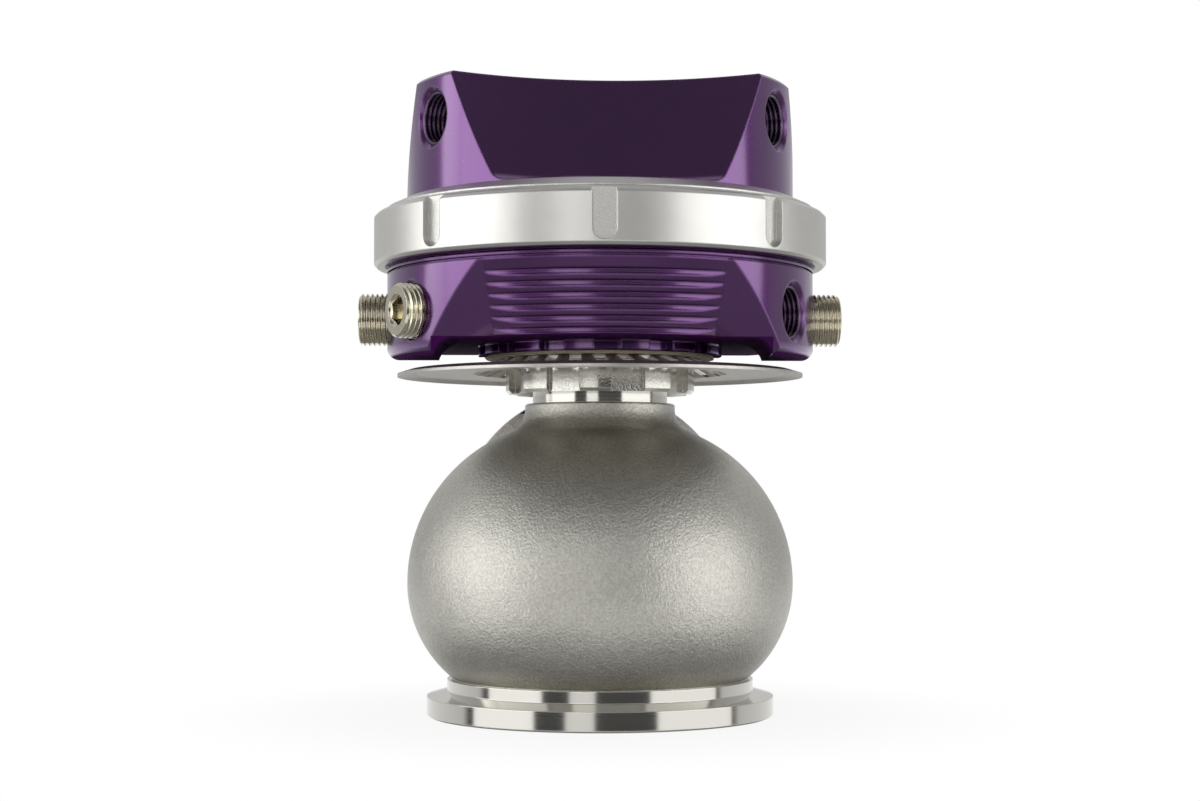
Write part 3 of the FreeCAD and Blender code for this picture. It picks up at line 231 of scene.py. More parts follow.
def facing_up(tree):
    """One on level tops, none on walls and minus one on level undersides."""
    normal = add(tree, PLACE).outputs["Normal"]
    return add(tree, AXES, {0: normal}).outputs[2]


def where(tree, tests):
    """One where every test holds, and none elsewhere. A test is a value, a comparison and a
    limit."""
    mask = 1.0
    for value, comparison, limit in tests:
        held = add(tree, MATH, {0: value, 1: limit}, operation=comparison)
        mask = add(tree, MATH, {0: mask, 1: held}, operation="MULTIPLY")
    return mask


def turning_marks(tree, mm, feed):
    """Rings left by the tool: they follow height on a wall and radius on a face."""
    axes = add(tree, AXES, {0: mm}).outputs
    run = add(tree, MATH, {0: off_axis(tree, axes), 1: axes[2]}, operation="ADD")
    return add(tree, NOISE, {"W": run, "Scale": 1 / feed, "Detail": 3.0, "Roughness": 0.6},
               noise_dimensions="1D")


# Finishes

# Dents and wavy skin of the casting: size, detail, roughness and depth. Sizes and depths here
# and below are in millimetres.
CAST_LAYERS = ((6.0, 1.0, 0.5, 0.10), (1.6, 2.0, 0.5, 0.05))
# Its sandy grain, whose size is a property: detail, roughness and depth.
SANDY_LAYER = (3.0, 0.7, 0.13)
# The collar's blasting and its milled slots, coarser than real so that they show: size, detail,
# roughness, depth and the edges' radius.
BLASTED_FACE = (0.3, 2.0, 0.5, 0.010, 0.35)
MILLED_FACE = (0.3, 3.0, 0.6, 0.06, 0.2)
# The anodising's etched grain, coarser than real so that it shows, and its specks and clouds.
ETCH = 0.3
SPECK = 0.45
CLOUD = 9.0
ETCH_DEPTH = 0.004
CAST_EDGE = 0.25
RING_DEPTH = 0.0015
DYED_EDGE = 0.6
# Where the body is turned, the collar is slotted and the housing is left rough and darkened with
# painted shade, in millimetres.
BAND_TOP = 7.02
NECK_TOP = 59.75
OUTLET_BAND = 47.1
SLOT_REACH = 43.4
SLOT_LOW = 88.6
SLOT_HIGH = 97.6
SLOT_WALL = 0.2
ROOM_TOP = 71.45
ROOM_HALF = 31.38
BOSS_REACH = 24.3
OXIDE_IOR = 1.7
OXIDE_TINT = (0.7, 0.6, 0.8, 1.0)
OXIDE_ROUGHNESS = 0.14
UNDERSIDE_ROUGHNESS = 0.85
REAR_DULLING = 0.22


def cast_and_turned_steel(finishes, sizes):
    """Investment-cast stainless with turned faces: a blasted, sandy skin with soft dents on the
    casting, and bright rings that keep reflections crisp round the flanges."""
    material, tree = new_material("cast_stainless")
    mm = millimetres(tree)
    axes = add(tree, AXES, {0: mm}).outputs
    cast = where(tree, ((axes[2], "GREATER_THAN", BAND_TOP), (axes[2], "LESS_THAN", NECK_TOP),
                        (axes[1], "LESS_THAN", OUTLET_BAND)))
    rear = add(tree, MATH, {0: axes[1], 1: OUTLET_BAND}, operation="GREATER_THAN")
    edges = add(tree, BEVEL, {"Radius": CAST_EDGE * MM}, samples=EDGE_SAMPLES)
    relief = edges
    patterns = []
    for size, detail, rough, depth in CAST_LAYERS + ((sizes.cast_grain / MM, *SANDY_LAYER),):
        patterns.append(add(tree, NOISE, grains(mm, size, detail, rough)))
        relief = add(tree, BUMP, {"Height": patterns[-1], "Distance": depth * MM,
                                  "Normal": relief})
    rings = turning_marks(tree, mm, sizes.turning_feed / MM)
    lathe_marks = add(tree, BUMP, {"Height": rings, "Distance": RING_DEPTH * MM,
                                   "Normal": edges})
    normal = add(tree, MIX, {"Factor": cast, 4: lathe_marks, 5: relief}, data_type="VECTOR")
    skin, sand = patterns[1:]
    mottled = mottle(tree, sand, 0.38, 0.62, 0.78, finishes.cast_colour)
    colour = add(tree, MIX, {"Factor": cast, 6: rgba(finishes.turned_colour), 7: mottled},
                 data_type="RGBA")
    dull = add(tree, RAMP, span(skin, *MIDDLE, finishes.cast_roughness - 0.03,
                                finishes.cast_roughness + 0.03))
    bright = add(tree, RAMP, span(rings, *MIDDLE, finishes.turned_roughness - 0.02,
                                  finishes.turned_roughness + 0.04))
    fade = add(tree, MATH, {0: rear, 1: REAR_DULLING}, operation="MULTIPLY")
    bright = add(tree, MATH, {0: bright, 1: fade}, operation="ADD")
    gloss = add(tree, MIX, {"Factor": cast, 2: bright, 3: dull}, data_type="FLOAT")
    finish(tree, {"Base Color": colour.outputs[2], "Metallic": 1.0, "Roughness": gloss,
                  "Normal": normal.outputs[1]})
    return material


def turned_metal(name, colour, roughness, feed, edge=0.15, mark_depth=0.002, speckle=0.0):
    """Metal off the lathe: fine rings that catch the light, and soft bright edges."""
    material, tree = new_material(name)
    mm = millimetres(tree)
    rings = turning_marks(tree, mm, feed)
    edges = add(tree, BEVEL, {"Radius": edge * MM}, samples=EDGE_SAMPLES)
    normal = add(tree, BUMP, {"Height": rings, "Distance": mark_depth * MM, "Normal": edges})
    clouds = add(tree, NOISE, grains(mm, 1.8, 3.0))
    shade = mottle(tree, clouds, 0.35, 0.65, 0.94 - speckle, colour)
    gloss = add(tree, RAMP, span(rings, *MIDDLE, max(roughness - 0.03, 0.02),
                                 roughness + 0.04))
    finish(tree, {"Base Color": shade, "Metallic": 1.0, "Roughness": gloss, "Normal": normal})
    return material


def satin_aluminium(finishes):
    """Bead-blasted aluminium: an even silvery satin, with the rougher floors of the spanner
    slots left by the cutter."""
    material, tree = new_material("satin_aluminium")
    mm = millimetres(tree)
    axes = add(tree, AXES, {0: mm}).outputs
    level = add(tree, MATH, {0: facing_up(tree)}, operation="ABSOLUTE")
    sunk = where(tree, ((off_axis(tree, axes), "LESS_THAN", SLOT_REACH),
                        (axes[2], "GREATER_THAN", SLOT_LOW), (axes[2], "LESS_THAN", SLOT_HIGH),
                        (level, "LESS_THAN", SLOT_WALL)))
    faces = []
    for size, detail, rough, depth, edge in (BLASTED_FACE, MILLED_FACE):
        pattern = add(tree, NOISE, grains(mm, size, detail, rough))
        edges = add(tree, BEVEL, {"Radius": edge * MM}, samples=EDGE_SAMPLES)
        relief = add(tree, BUMP, {"Height": pattern, "Distance": depth * MM, "Normal": edges})
        faces.append((pattern, relief))
    (_, smooth), (milled, rough_floor) = faces
    normal = add(tree, MIX, {"Factor": sunk, 4: smooth, 5: rough_floor}, data_type="VECTOR")
    clouds = add(tree, NOISE, grains(mm, 5.0, 3.0))
    even = mottle(tree, clouds, *MIDDLE, 0.95, finishes.collar_colour)
    sandy = mottle(tree, milled, 0.4, 0.6, 0.85, finishes.collar_colour)
    colour = add(tree, MIX, {"Factor": sunk, 6: even, 7: sandy}, data_type="RGBA")
    finish(tree, {"Base Color": colour.outputs[2], "Metallic": 1.0,
                  "Roughness": finishes.collar_roughness, "Normal": normal.outputs[1]})
    return material


def anodised_purple(finishes, name="anodised_purple", shade=1.0):
    """Dyed anodising over milled aluminium: a richly tinted metal under a clear glossy oxide whose
    own reflections stay white, with a very fine etched grain and tiny pale specks. In the rough
    milled room round the boss and where the underside faces down it is dull, and its dye is halved
    there as painted shade."""
    material, tree = new_material(name)
    mm = millimetres(tree)
    axes = add(tree, AXES, {0: mm}).outputs
    etch = add(tree, NOISE, grains(mm, ETCH))
    clouds = add(tree, NOISE, grains(mm, CLOUD))
    dots = add(tree, NOISE, grains(mm, SPECK, detail=0.0))
    specks = add(tree, RAMP, span(dots, 0.80, 0.83, 0.0, 1.0), interpolation_type=SOFT)
    edges = add(tree, BEVEL, {"Radius": DYED_EDGE * MM}, samples=EDGE_SAMPLES)
    normal = add(tree, BUMP, {"Height": etch, "Distance": ETCH_DEPTH * MM, "Normal": edges})
    # A shade below one darkens the dye, as painted shade where a piece sits in shadow.
    dye = [c * shade for c in finishes.dye_colour]
    pale = rgba([min(c * 1.7, 1.0) for c in dye])
    # Half the dye, as painted shade in the room round the boss and on faces that point down.
    painted_shade_dye = rgba([c * 0.5 for c in dye])
    even = mottle(tree, clouds, 0.35, 0.65, 0.93, dye)
    base = add(tree, MIX, {"Factor": specks, 6: even, 7: pale}, data_type="RGBA").outputs[2]
    gloss = add(tree, RAMP, span(etch, *MIDDLE, finishes.dye_roughness - 0.02,
                                 finishes.dye_roughness + 0.04))
    sideways = add(tree, MATH, {0: axes[0]}, operation="ABSOLUTE")
    room = where(tree, ((off_axis(tree, axes), "GREATER_THAN", BOSS_REACH),
                        (sideways, "LESS_THAN", ROOM_HALF), (axes[2], "LESS_THAN", ROOM_TOP)))
    underside = add(tree, RAMP, span(facing_up(tree), -0.80, -0.65, 1.0, 0.0))
    rough_and_shaded = add(tree, MATH, {0: underside, 1: room}, operation="MAXIMUM")
    clear = add(tree, MATH, {0: 1.0, 1: rough_and_shaded}, operation="SUBTRACT")
    colour = add(tree, MIX, {"Factor": rough_and_shaded, 6: base, 7: painted_shade_dye}, data_type="RGBA").outputs[2]
    rough = add(tree, RAMP, span(rough_and_shaded, 0.0, 1.0, gloss, UNDERSIDE_ROUGHNESS))
    finish(tree, {"Base Color": colour, "Metallic": clear, "Roughness": rough,
                  "Normal": normal, "Specular IOR Level": 0.1, "Specular Tint": OXIDE_TINT,
                  "Coat Weight": clear, "Coat Roughness": OXIDE_ROUGHNESS,
                  "Coat IOR": OXIDE_IOR, "Coat Normal": edges})
    return material


def grained_metal(name, colour, roughness, size, depth, edge=0.12):
    """Plated or blasted metal: an even grain without tool marks, a little darker in its
    hollows."""
    material, tree = new_material(name)
    skin = add(tree, NOISE, grains(millimetres(tree), size))
    edges = add(tree, BEVEL, {"Radius": edge * MM}, samples=EDGE_SAMPLES)
    normal = add(tree, BUMP, {"Height": skin, "Distance": depth * MM, "Normal": edges})
    shade = mottle(tree, skin, 0.3, 0.6, 0.85, colour)
    finish(tree, {"Base Color": shade, "Metallic": 1.0, "Roughness": roughness,
                  "Normal": normal})
    return material


def soft_material(name, colour, roughness, size, depth, edge=0.2):
    """Rubber, fibre or a moulded seal: matt, with a fine even grain."""
    material, tree = new_material(name)
    texture = add(tree, NOISE, grains(millimetres(tree), size, 3.0))
    edges = add(tree, BEVEL, {"Radius": edge * MM}, samples=EDGE_SAMPLES)
    normal = add(tree, BUMP, {"Height": texture, "Distance": depth * MM, "Normal": edges})
    shade = mottle(tree, texture, 0.0, 1.0, 0.8, colour)
    finish(tree, {"Base Color": shade, "Roughness": roughness, "Normal": normal})
    return material


def wear(node, material):
    """Gives a CAD node its finish."""
    slots = NODES[node].data.materials
    slots.clear()
    slots.append(material)


# Modelling helpers

# How near two vertices are merged, in millimetres, and the flat part of a thread's pitch.
MERGE_GAP = 0.002
FINE_GAP = 0.0005
FLAT_SHARE = 0.12


def deselect_all():
    if bpy.context.mode != "OBJECT":
        bpy.ops.object.mode_set(mode="OBJECT")
    bpy.ops.object.select_all(action="DESELECT")


def pick(piece):
    """Selects one piece alone and makes it active."""
    deselect_all()
    piece.select_set(True)
    bpy.context.view_layer.objects.active = piece


def settle(piece):
    """Moves an object's placing into its mesh, so that the object itself sits at the origin."""
    piece.data.transform(piece.matrix_world)
    piece.matrix_world = Matrix.Identity(4)


def draw_profile(name, points):
    """A chain of edges in the XZ plane, drawn point by point from one vertex."""
    deselect_all()
    bpy.ops.mesh.primitive_plane_add(size=MM, location=(0, 0, 0))
    piece = bpy.context.object
    piece.name = name
    piece.data.name = name
    bpy.ops.object.mode_set(mode="EDIT")
    bpy.ops.mesh.select_mode(type="VERT")
    bpy.ops.mesh.select_all(action="SELECT")
    bpy.ops.mesh.merge(type="CENTER")
    place = Vector((points[0][0], 0, points[0][1]))
    bpy.ops.transform.translate(value=place)
    for radius, height in points[1:]:
        target = Vector((radius, 0, height))
        bpy.ops.mesh.extrude_vertices_move(TRANSFORM_OT_translate={"value": target - place})
        place = target
    bpy.ops.object.mode_set(mode="OBJECT")
    return piece


def apply_modifier(piece, kind, **settings):
    pick(piece)
    modifier = piece.modifiers.new(kind.lower(), kind)
    for name, value in settings.items():
        setattr(modifier, name, value)
    bpy.ops.object.modifier_apply(modifier=modifier.name)


def close_up(piece, gap=MERGE_GAP):
    """Merges doubles, fills what is open and turns the faces outward."""
    pick(piece)
    bpy.ops.object.mode_set(mode="EDIT")
    bpy.ops.mesh.select_all(action="SELECT")
    bpy.ops.mesh.remove_doubles(threshold=gap * MM)
    bpy.ops.mesh.dissolve_degenerate(threshold=FINE_GAP * MM)
    bpy.ops.mesh.select_all(action="SELECT")
    bpy.ops.mesh.fill_holes(sides=0)
    bpy.ops.mesh.select_all(action="SELECT")
    bpy.ops.mesh.normals_make_consistent(inside=False)
    bpy.ops.object.mode_set(mode="OBJECT")


def dress(piece, material, angle):
    """Gives a modelled piece its finish and smooths its edges that are flatter than an angle in
    degrees."""
    piece.data.materials.clear()
    piece.data.materials.append(material)
    pick(piece)
    bpy.ops.object.shade_smooth_by_angle(angle=radians(angle))


def lathe(name, points, steps=96, pitch=0.0):
    """A profile turned about Z. With a pitch the turn climbs, as a screw thread does."""
    piece = draw_profile(name, points)
    apply_modifier(piece, "SCREW", axis="Z", angle=2 * pi, steps=steps, render_steps=steps,
                   screw_offset=pitch, use_merge_vertices=True,
                   merge_threshold=MERGE_GAP * MM, use_smooth_shade=False)
    close_up(piece)
    return piece


def cut_with(piece, tool, operation):
    """A boolean with a tool that is then thrown away."""
    apply_modifier(piece, "BOOLEAN", operation=operation, object=tool, solver="EXACT")
    bpy.data.objects.remove(tool)


def seat(piece, origin, direction):
    """Puts a piece made along +Z at a place, its +Z along the given direction."""
    turn = Vector((0, 0, 1)).rotation_difference(Vector(direction)).to_matrix().to_4x4()
    piece.data.transform(Matrix.Translation(Vector(origin)) @ turn)


def zigzag(root, crest, start, end, pitch):
    """Thread profile between two heights: narrow flat roots and crests, and sloping flanks."""
    points = []
    turns = int(round((end - start) / pitch))
    flat = pitch * FLAT_SHARE
    flank = (pitch - 2 * flat) / 2
    for turn in range(turns):
        foot = start + turn * pitch
        points.append((root, foot))
        points.append((root, foot + flat))
        points.append((crest, foot + flat + flank))
        points.append((crest, foot + 2 * flat + flank))
    points.append((root, start + turns * pitch))
    return points


# Threads and plugs

# Sizes of the plugs and the port threads, in millimetres, unless named as a share. A plug's
# stand is how far it stands out of its port, and a port's mouth is its distance from the stem.
PLUG_STANDS = {"left_front": 2.9, "left_rear": 5.4, "right_rear": 5.4}
CHAMFER_SHARE = 1.1
GRIP_GAP = 0.22
TAPER_TOP = 0.6
TAPER_FOOT = 0.9
SOCKET_LIP = 1.0
DRILL_SHARE = 0.80
DRILL_POINT = 1.1
COUNTERSINK_DEPTH = 0.7
COUNTERSINK_FOOT = 0.3
COUNTERSINK_REACH = 0.45
OVERLAP = 0.1
PORT_MOUTHS = {"housing_port": 40.45, "cap_port_left": 36.68, "cap_port_right": 36.68}
SLEEVE_GAP = 0.01
SLEEVE_WALL = 0.06


def hex_socket(name, flats, depth, mouth):
    """The walls that a hexagon key turns against, as a tool to cut with."""
    deselect_all()
    bpy.ops.mesh.primitive_cylinder_add(vertices=6, radius=flats / sqrt(3), depth=depth + mouth,
                                        location=(0, 0, (mouth - depth) / 2))
    socket = bpy.context.object
    socket.name = name
    settle(socket)
    return socket


def make_plug(name, node, stand, sizes, material):
    """A pipe plug: a real screw thread, a chamfered end and a hexagon socket."""
    low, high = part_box(node)
    centre = (low + high) / 2
    outward = Vector((centre.x, centre.y, 0)).normalized()
    crest = (high.z - low.z) / 2
    root = crest - sizes.thread_depth
    reaches = [vertex.co.dot(outward) for vertex in NODES[node].data.vertices]
    far = max(reaches)
    length = far - min(reaches)
    pitch = sizes.thread_pitch
    profile = [(0, -length - pitch)]
    profile += zigzag(root, crest, -length - pitch, pitch * 2, pitch)
    profile.append((0, profile[-1][1]))
    plug = lathe(name, profile, pitch=pitch)
    chamfer = sizes.thread_depth * CHAMFER_SHARE
    grip = crest - GRIP_GAP * MM
    envelope = lathe(name + "_envelope", [
        (0, -length), (grip - chamfer / 2, -length), (grip, -length + chamfer / 2),
        (grip, -stand - TAPER_FOOT * MM), (crest, -stand - TAPER_TOP * MM), (crest, -chamfer),
        (crest - chamfer, 0), (0, 0)])
    cut_with(plug, envelope, "INTERSECT")
    depth = sizes.socket_depth
    socket = hex_socket(name + "_socket", sizes.socket_flats, depth, SOCKET_LIP * MM)
    cut_with(plug, socket, "DIFFERENCE")
    corner = sizes.socket_flats / sqrt(3)
    drilled = corner * DRILL_SHARE
    lap = OVERLAP * MM
    drill = lathe(name + "_drill", [
        (0, -depth - DRILL_POINT * MM), (drilled, -depth + lap),
        (drilled, -COUNTERSINK_DEPTH * MM), (corner + lap, -COUNTERSINK_FOOT * MM),
        (corner + COUNTERSINK_REACH * MM, lap), (0, lap)], steps=48)
    cut_with(plug, drill, "DIFFERENCE")
    close_up(plug, FINE_GAP)
    seat(plug, outward * far + Vector((0, 0, centre.z)), outward)
    dress(plug, material, angle=32)
    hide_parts(node)
    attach(plug, "root")
    return plug


def make_port_thread(name, mount, sizes, material):
    """The thread cut inside an open port, as a thin sleeve on the bore's wall."""
    port = MOUNTS[mount]
    outward = Vector(port["axis"])
    bore = port["dims"]["r_mm"] * MM
    length = port["dims"]["length_mm"] * MM
    wall = bore - SLEEVE_GAP * MM
    crest = bore - sizes.thread_depth
    pitch = sizes.thread_pitch
    turns = int(length / pitch) - 1
    start = -turns * pitch
    profile = [(wall, start)] + zigzag(wall - SLEEVE_WALL * MM, crest, start, 0.0, pitch)
    profile += [(wall, 0.0), (wall, start)]
    thread = lathe(name, profile, steps=72)
    mouth = Vector(port["pos_m"])
    reach = PORT_MOUTHS[mount] * MM
    seat(thread, outward * reach + Vector((0, 0, mouth.z)), outward)
    dress(thread, material, angle=25)
    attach(thread, "root")
    return thread


# Springs and diaphragm

# Mean radius, wire and pitch of each spring, and the diaphragm's own sizes, in millimetres. The
# diaphragm's fold is shy of the piston's side, so that it clears it with the valve open.
SPRINGS = {"outer_spring": (17.0, 3.2, 6.6), "middle_spring": (13.2, 2.6, 5.6),
           "inner_spring": (9.7, 2.2, 4.7)}
ROLL = 3.4
SHEET = 0.9
RIM = 1.2
STEM_HOLE = 3.05
SHY = 0.12
WIRE_SIDES = 12
STEPS_A_TURN = 40


def make_coil(node, radius, wire, pitch, material):
    """A compression spring of round wire with its two ends ground flat. Its upper end stays in the
    cap."""
    low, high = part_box(node)
    length = high.z - low.z
    turns = (length + wire / 2) / pitch
    deselect_all()
    bpy.ops.mesh.primitive_circle_add(vertices=WIRE_SIDES, radius=wire / 2,
                                      location=(radius, 0, low.z - wire / 4),
                                      rotation=(pi / 2, 0, 0))
    coil = bpy.context.object
    coil.name = "wound_" + node
    settle(coil)
    steps = int(turns * STEPS_A_TURN)
    apply_modifier(coil, "SCREW", axis="Z", angle=2 * pi * turns, screw_offset=pitch * turns,
                   steps=steps, render_steps=steps, use_smooth_shade=False)
    close_up(coil)
    deselect_all()
    bpy.ops.mesh.primitive_cylinder_add(vertices=96, radius=radius + wire, depth=length,
                                        location=(0, 0, (low.z + high.z) / 2))
    cut_with(coil, bpy.context.object, "INTERSECT")
    close_up(coil, FINE_GAP)
    dress(coil, material, angle=40)
    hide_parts(node)
    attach(coil, "root")
    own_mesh(coil)
    return coil


def make_diaphragm(material):
    """The moulded rubber: a sheet on the piston, a rolled wall and a clamped rim."""
    low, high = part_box("diaphragm")
    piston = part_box("piston")[1].x
    roll_top = low.z + ROLL * MM
    wall = piston + ROLL * MM
    sheet = SHEET * MM
    rim_bottom = high.z - RIM * MM
    hole = STEM_HOLE * MM
    profile = [
        (hole, low.z), (piston + SHY * MM, low.z), (wall - sheet, roll_top),
        (wall, rim_bottom), (high.x, rim_bottom), (high.x, high.z), (wall - sheet, high.z),
        (wall - 2 * sheet, roll_top + sheet / 2), (piston + SHY * MM, low.z + sheet),
        (hole, low.z + sheet), (hole, low.z)]
    rubber = lathe("moulded_diaphragm", profile, steps=128)
    dress(rubber, material, angle=40)
    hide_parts("diaphragm")
    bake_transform(rubber)
    return rubber


# Operators

class WASTEGATE_OT_steel(bpy.types.Operator):
    """Finish the cast body, its seat, the lock nut and the heat shield"""
    bl_idname = "wastegate.steel"
    bl_label = "Finish the steel pieces"

    def execute(self, context):
        finishes = context.scene.wastegate_finishes
        sizes = context.scene.wastegate_sizes
        feed = sizes.turning_feed / MM
        wear("valve_body", cast_and_turned_steel(finishes, sizes))
        wear("lock_nut", grained_metal("turned_stainless", finishes.turned_colour,
                                       roughness=0.13, size=0.4, depth=0.016))
        wear("heat_shield", turned_metal("shield_steel", finishes.shield_colour,
                                         roughness=0.38, feed=0.9, edge=0.1,
                                         mark_depth=0.004, speckle=0.05))
        valve_steel = turned_metal("valve_steel", finishes.valve_colour, 0.22, feed)
        for node in ("valve_seat", "valve"):
            wear(node, valve_steel)
        return {"FINISHED"}


class WASTEGATE_OT_actuator(bpy.types.Operator):
    """Finish the anodised housing and cap, the collar and the insulator"""
    bl_idname = "wastegate.actuator"
    bl_label = "Finish the actuator"

    def execute(self, context):
        finishes = context.scene.wastegate_finishes
        purple = anodised_purple(finishes)
        for node in ("cap", "lower_housing"):
            wear(node, purple)
        wear("collar", satin_aluminium(finishes))
        wear("insulator_washer", soft_material("insulator_fibre", finishes.fibre_colour,
                                               roughness=0.7, size=0.6, depth=0.02))
        return {"FINISHED"}


class WASTEGATE_OT_inner_pieces(bpy.types.Operator):
    """Finish the diaphragm's plates, the guide and the seal"""
    bl_idname = "wastegate.inner_pieces"
    bl_label = "Finish the inner pieces"

    def execute(self, context):
        finishes = context.scene.wastegate_finishes
        feed = context.scene.wastegate_sizes.turning_feed / MM
        wear("valve_guide", turned_metal("guide_bronze", finishes.bronze_colour, 0.25, feed))
        wear("stem_seal", soft_material("seal_carbon", finishes.carbon_colour,
                                        roughness=0.5, size=0.4, depth=0.01))
        wear("seal_retainer", turned_metal("retainer_steel", finishes.turned_colour, 0.2, feed))
        wear("piston", turned_metal("plate_aluminium", finishes.collar_colour, 0.25, feed))
        zinc = turned_metal("zinc_steel", finishes.zinc_colour, 0.25, feed)
        for node in ("spring_cup", "stem_washer", "stem_nut"):
            wear(node, zinc)
        return {"FINISHED"}


class WASTEGATE_OT_spring_pack(bpy.types.Operator):
    """Model the springs and the diaphragm"""
    bl_idname = "wastegate.spring_pack"
    bl_label = "Model the springs and the diaphragm"

    def execute(self, context):
        finishes = context.scene.wastegate_finishes
        steel = grained_metal("spring_steel", finishes.spring_colour,
                              roughness=0.3, size=0.8, depth=0.004)
        for node, (radius, wire, pitch) in SPRINGS.items():
            make_coil(node, radius * MM, wire * MM, pitch * MM, steel)
        make_diaphragm(soft_material("diaphragm_silicone", finishes.silicone_colour,
                                     roughness=0.45, size=0.5, depth=0.03))
        return {"FINISHED"}


class WASTEGATE_OT_port_plugs(bpy.types.Operator):
    """Model the three threaded plugs in the housing's ports"""
    bl_idname = "wastegate.port_plugs"
    bl_label = "Model the port plugs"

    def execute(self, context):
        finishes = context.scene.wastegate_finishes
        sizes = context.scene.wastegate_sizes
        nickel = grained_metal("plug_nickel", finishes.nickel_colour,
                               roughness=0.14, size=0.6, depth=0.008)
        for word, stand in PLUG_STANDS.items():
            make_plug("threaded_plug_" + word, "port_plug_" + word, stand * MM, sizes, nickel)
        return {"FINISHED"}


class WASTEGATE_OT_port_threads(bpy.types.Operator):
    """Model the threads inside the three open ports"""
    bl_idname = "wastegate.port_threads"
    bl_label = "Model the port threads"

    def execute(self, context):
        finishes = context.scene.wastegate_finishes
        sizes = context.scene.wastegate_sizes
        # The threads inside the bores take half the dye: painted shade in the ports.
        purple = anodised_purple(finishes, "anodised_thread_shaded", 0.5)
        for mount in PORT_MOUTHS:
            make_port_thread(mount + "_thread", mount, sizes, purple)
        return {"FINISHED"}


# Studio

def light(tree, strength, *ramps):
    """A light of the studio: a strength that each ramp raises or lowers. A ramp is a value, its
    range, the range it becomes and its ease."""
    total = strength
    for value, low, high, to_low, to_high, ease in ramps:
        share = add(tree, RAMP, span(value, low, high, to_low, to_high),
                    interpolation_type=ease)
        total = add(tree, MATH, {0: total, 1: share}, operation="MULTIPLY")
    return total


def panel(angle, start, end, edge=3.0):
    """The two ramps of a soft box between two angles from the front, in degrees."""
    return ((angle, start, start + edge, 0.0, 1.0, SOFT), (angle, end - edge, end, 1.0, 0.0, SOFT))


def directions(tree):
    """The angle from the front, its size to either side and the height, in degrees."""
    way = add(tree, PLACE).outputs["Generated"]
    axes = add(tree, AXES, {0: way}).outputs
    front = add(tree, MATH, {0: axes[1], 1: -1.0}, operation="MULTIPLY")
    turn = add(tree, MATH, {0: axes[0], 1: front}, operation="ARCTAN2")
    angle = add(tree, MATH, {0: turn, 1: 180 / pi}, operation="MULTIPLY")
    rise = add(tree, MATH, {0: axes[2]}, operation="ARCSINE")
    height = add(tree, MATH, {0: rise, 1: 180 / pi}, operation="MULTIPLY")
    return angle, add(tree, MATH, {0: angle}, operation="ABSOLUTE"), height


def light_above(tree, angle, wide, height):
    """What the part reflects from level upward: the white backdrop behind it, a soft box and a
    wing at its sides, a small card and a weak fill in front, and darkness overhead."""
    backdrop = light(tree, 1.0, (wide, 96.0, 102.0, 0.0, 1.0, EVEN),
                     (wide, 102.0, 165.0, 0.32, 0.5, EVEN), (height, 55.0, 85.0, 1.0, 0.3, EVEN),
                     (height, -3.0, 3.0, 1.7, 1.0, EVEN))
    left = light(tree, 1.15, *panel(angle, -93.0, -43.0))
    right = light(tree, 1.05, *panel(angle, 35.0, 96.0))
    wing = light(tree, 1.2, *panel(angle, -108.0, -90.0), (height, 0.0, 4.0, 0.0, 1.0, EVEN))
    hot = light(tree, 1.0, (height, 0.0, 7.0, 0.0, 1.0, SOFT), (height, 15.0, 24.0, 1.0, 0.0, SOFT))
    card = light(tree, 0.8, *panel(angle, -25.0, -3.0), (height, 0.0, 6.0, 1.0, 2.0, EVEN))
    fill = light(tree, 0.35, *panel(angle, -46.0, 38.0, 8.0), (height, 3.0, 8.0, 0.0, 1.0, SOFT))
    boxes = add(tree, MATH, {0: left, 1: right}, operation="ADD")
    boxes = add(tree, MATH, {0: boxes, 1: wing}, operation="MAXIMUM")
    boxes = add(tree, MATH, {0: boxes, 1: hot, 2: boxes}, operation="MULTIPLY_ADD")
    lit = add(tree, MATH, {0: boxes, 1: card}, operation="ADD")
    lit = add(tree, MATH, {0: lit, 1: fill}, operation="MAXIMUM")
    lit = light(tree, lit, (height, 25.0, 48.0, 1.0, 0.0, SOFT))
    lit = add(tree, MATH, {0: lit, 1: backdrop}, operation="ADD")
    room = add(tree, RAMP, span(height, 2.0, 20.0, 0.07, 0.18))
    return add(tree, MATH, {0: lit, 1: room}, operation="ADD")


def light_below(tree, wide, height):
    """What the part reflects from below: a pale table that darkens towards it, and the glare
    of the soft boxes on it."""
    lean = add(tree, MATH, {0: wide, 1: -TABLE_LEAN, 2: height}, operation="MULTIPLY_ADD")
    table = light(tree, 1.0, (lean, -52.0, -38.0, 0.3, 1.0, SOFT),
                  (wide, 30.0, 50.0, 1.1, 0.9, EVEN))
    glare = light(tree, 1.6, *panel(wide, 50.0, 98.0, 18.0),
                  (height, -30.0, -20.0, 0.0, 1.0, SOFT))
    return add(tree, MATH, {0: table, 1: glare}, operation="ADD")


def build_world(scene):
    """A studio as a world, as the turned flanges and the ball reflect it. The camera itself sees
    plain white."""
    world = bpy.data.worlds.new("studio")
    scene.world = world
    world.use_nodes = True
    tree = world.node_tree
    tree.nodes.clear()
    angle, wide, height = directions(tree)
    above = light_above(tree, angle, wide, height)
    below = light_below(tree, wide, height)
    sunk = add(tree, RAMP, span(height, TABLE_EDGE, TABLE_FULL, 0.0, 1.0),
               interpolation_type=SOFT)
    total = add(tree, MIX, {"Factor": sunk, 2: above, 3: below}, data_type="FLOAT")
    seen = add(tree, "ShaderNodeLightPath").outputs["Is Camera Ray"]
    strength = add(tree, MIX, {"Factor": seen, 2: total, 3: 1.0}, data_type="FLOAT")
    sky = add(tree, "ShaderNodeBackground", {"Color": WHITE, "Strength": strength})
    add(tree, "ShaderNodeOutputWorld", {"Surface": sky})


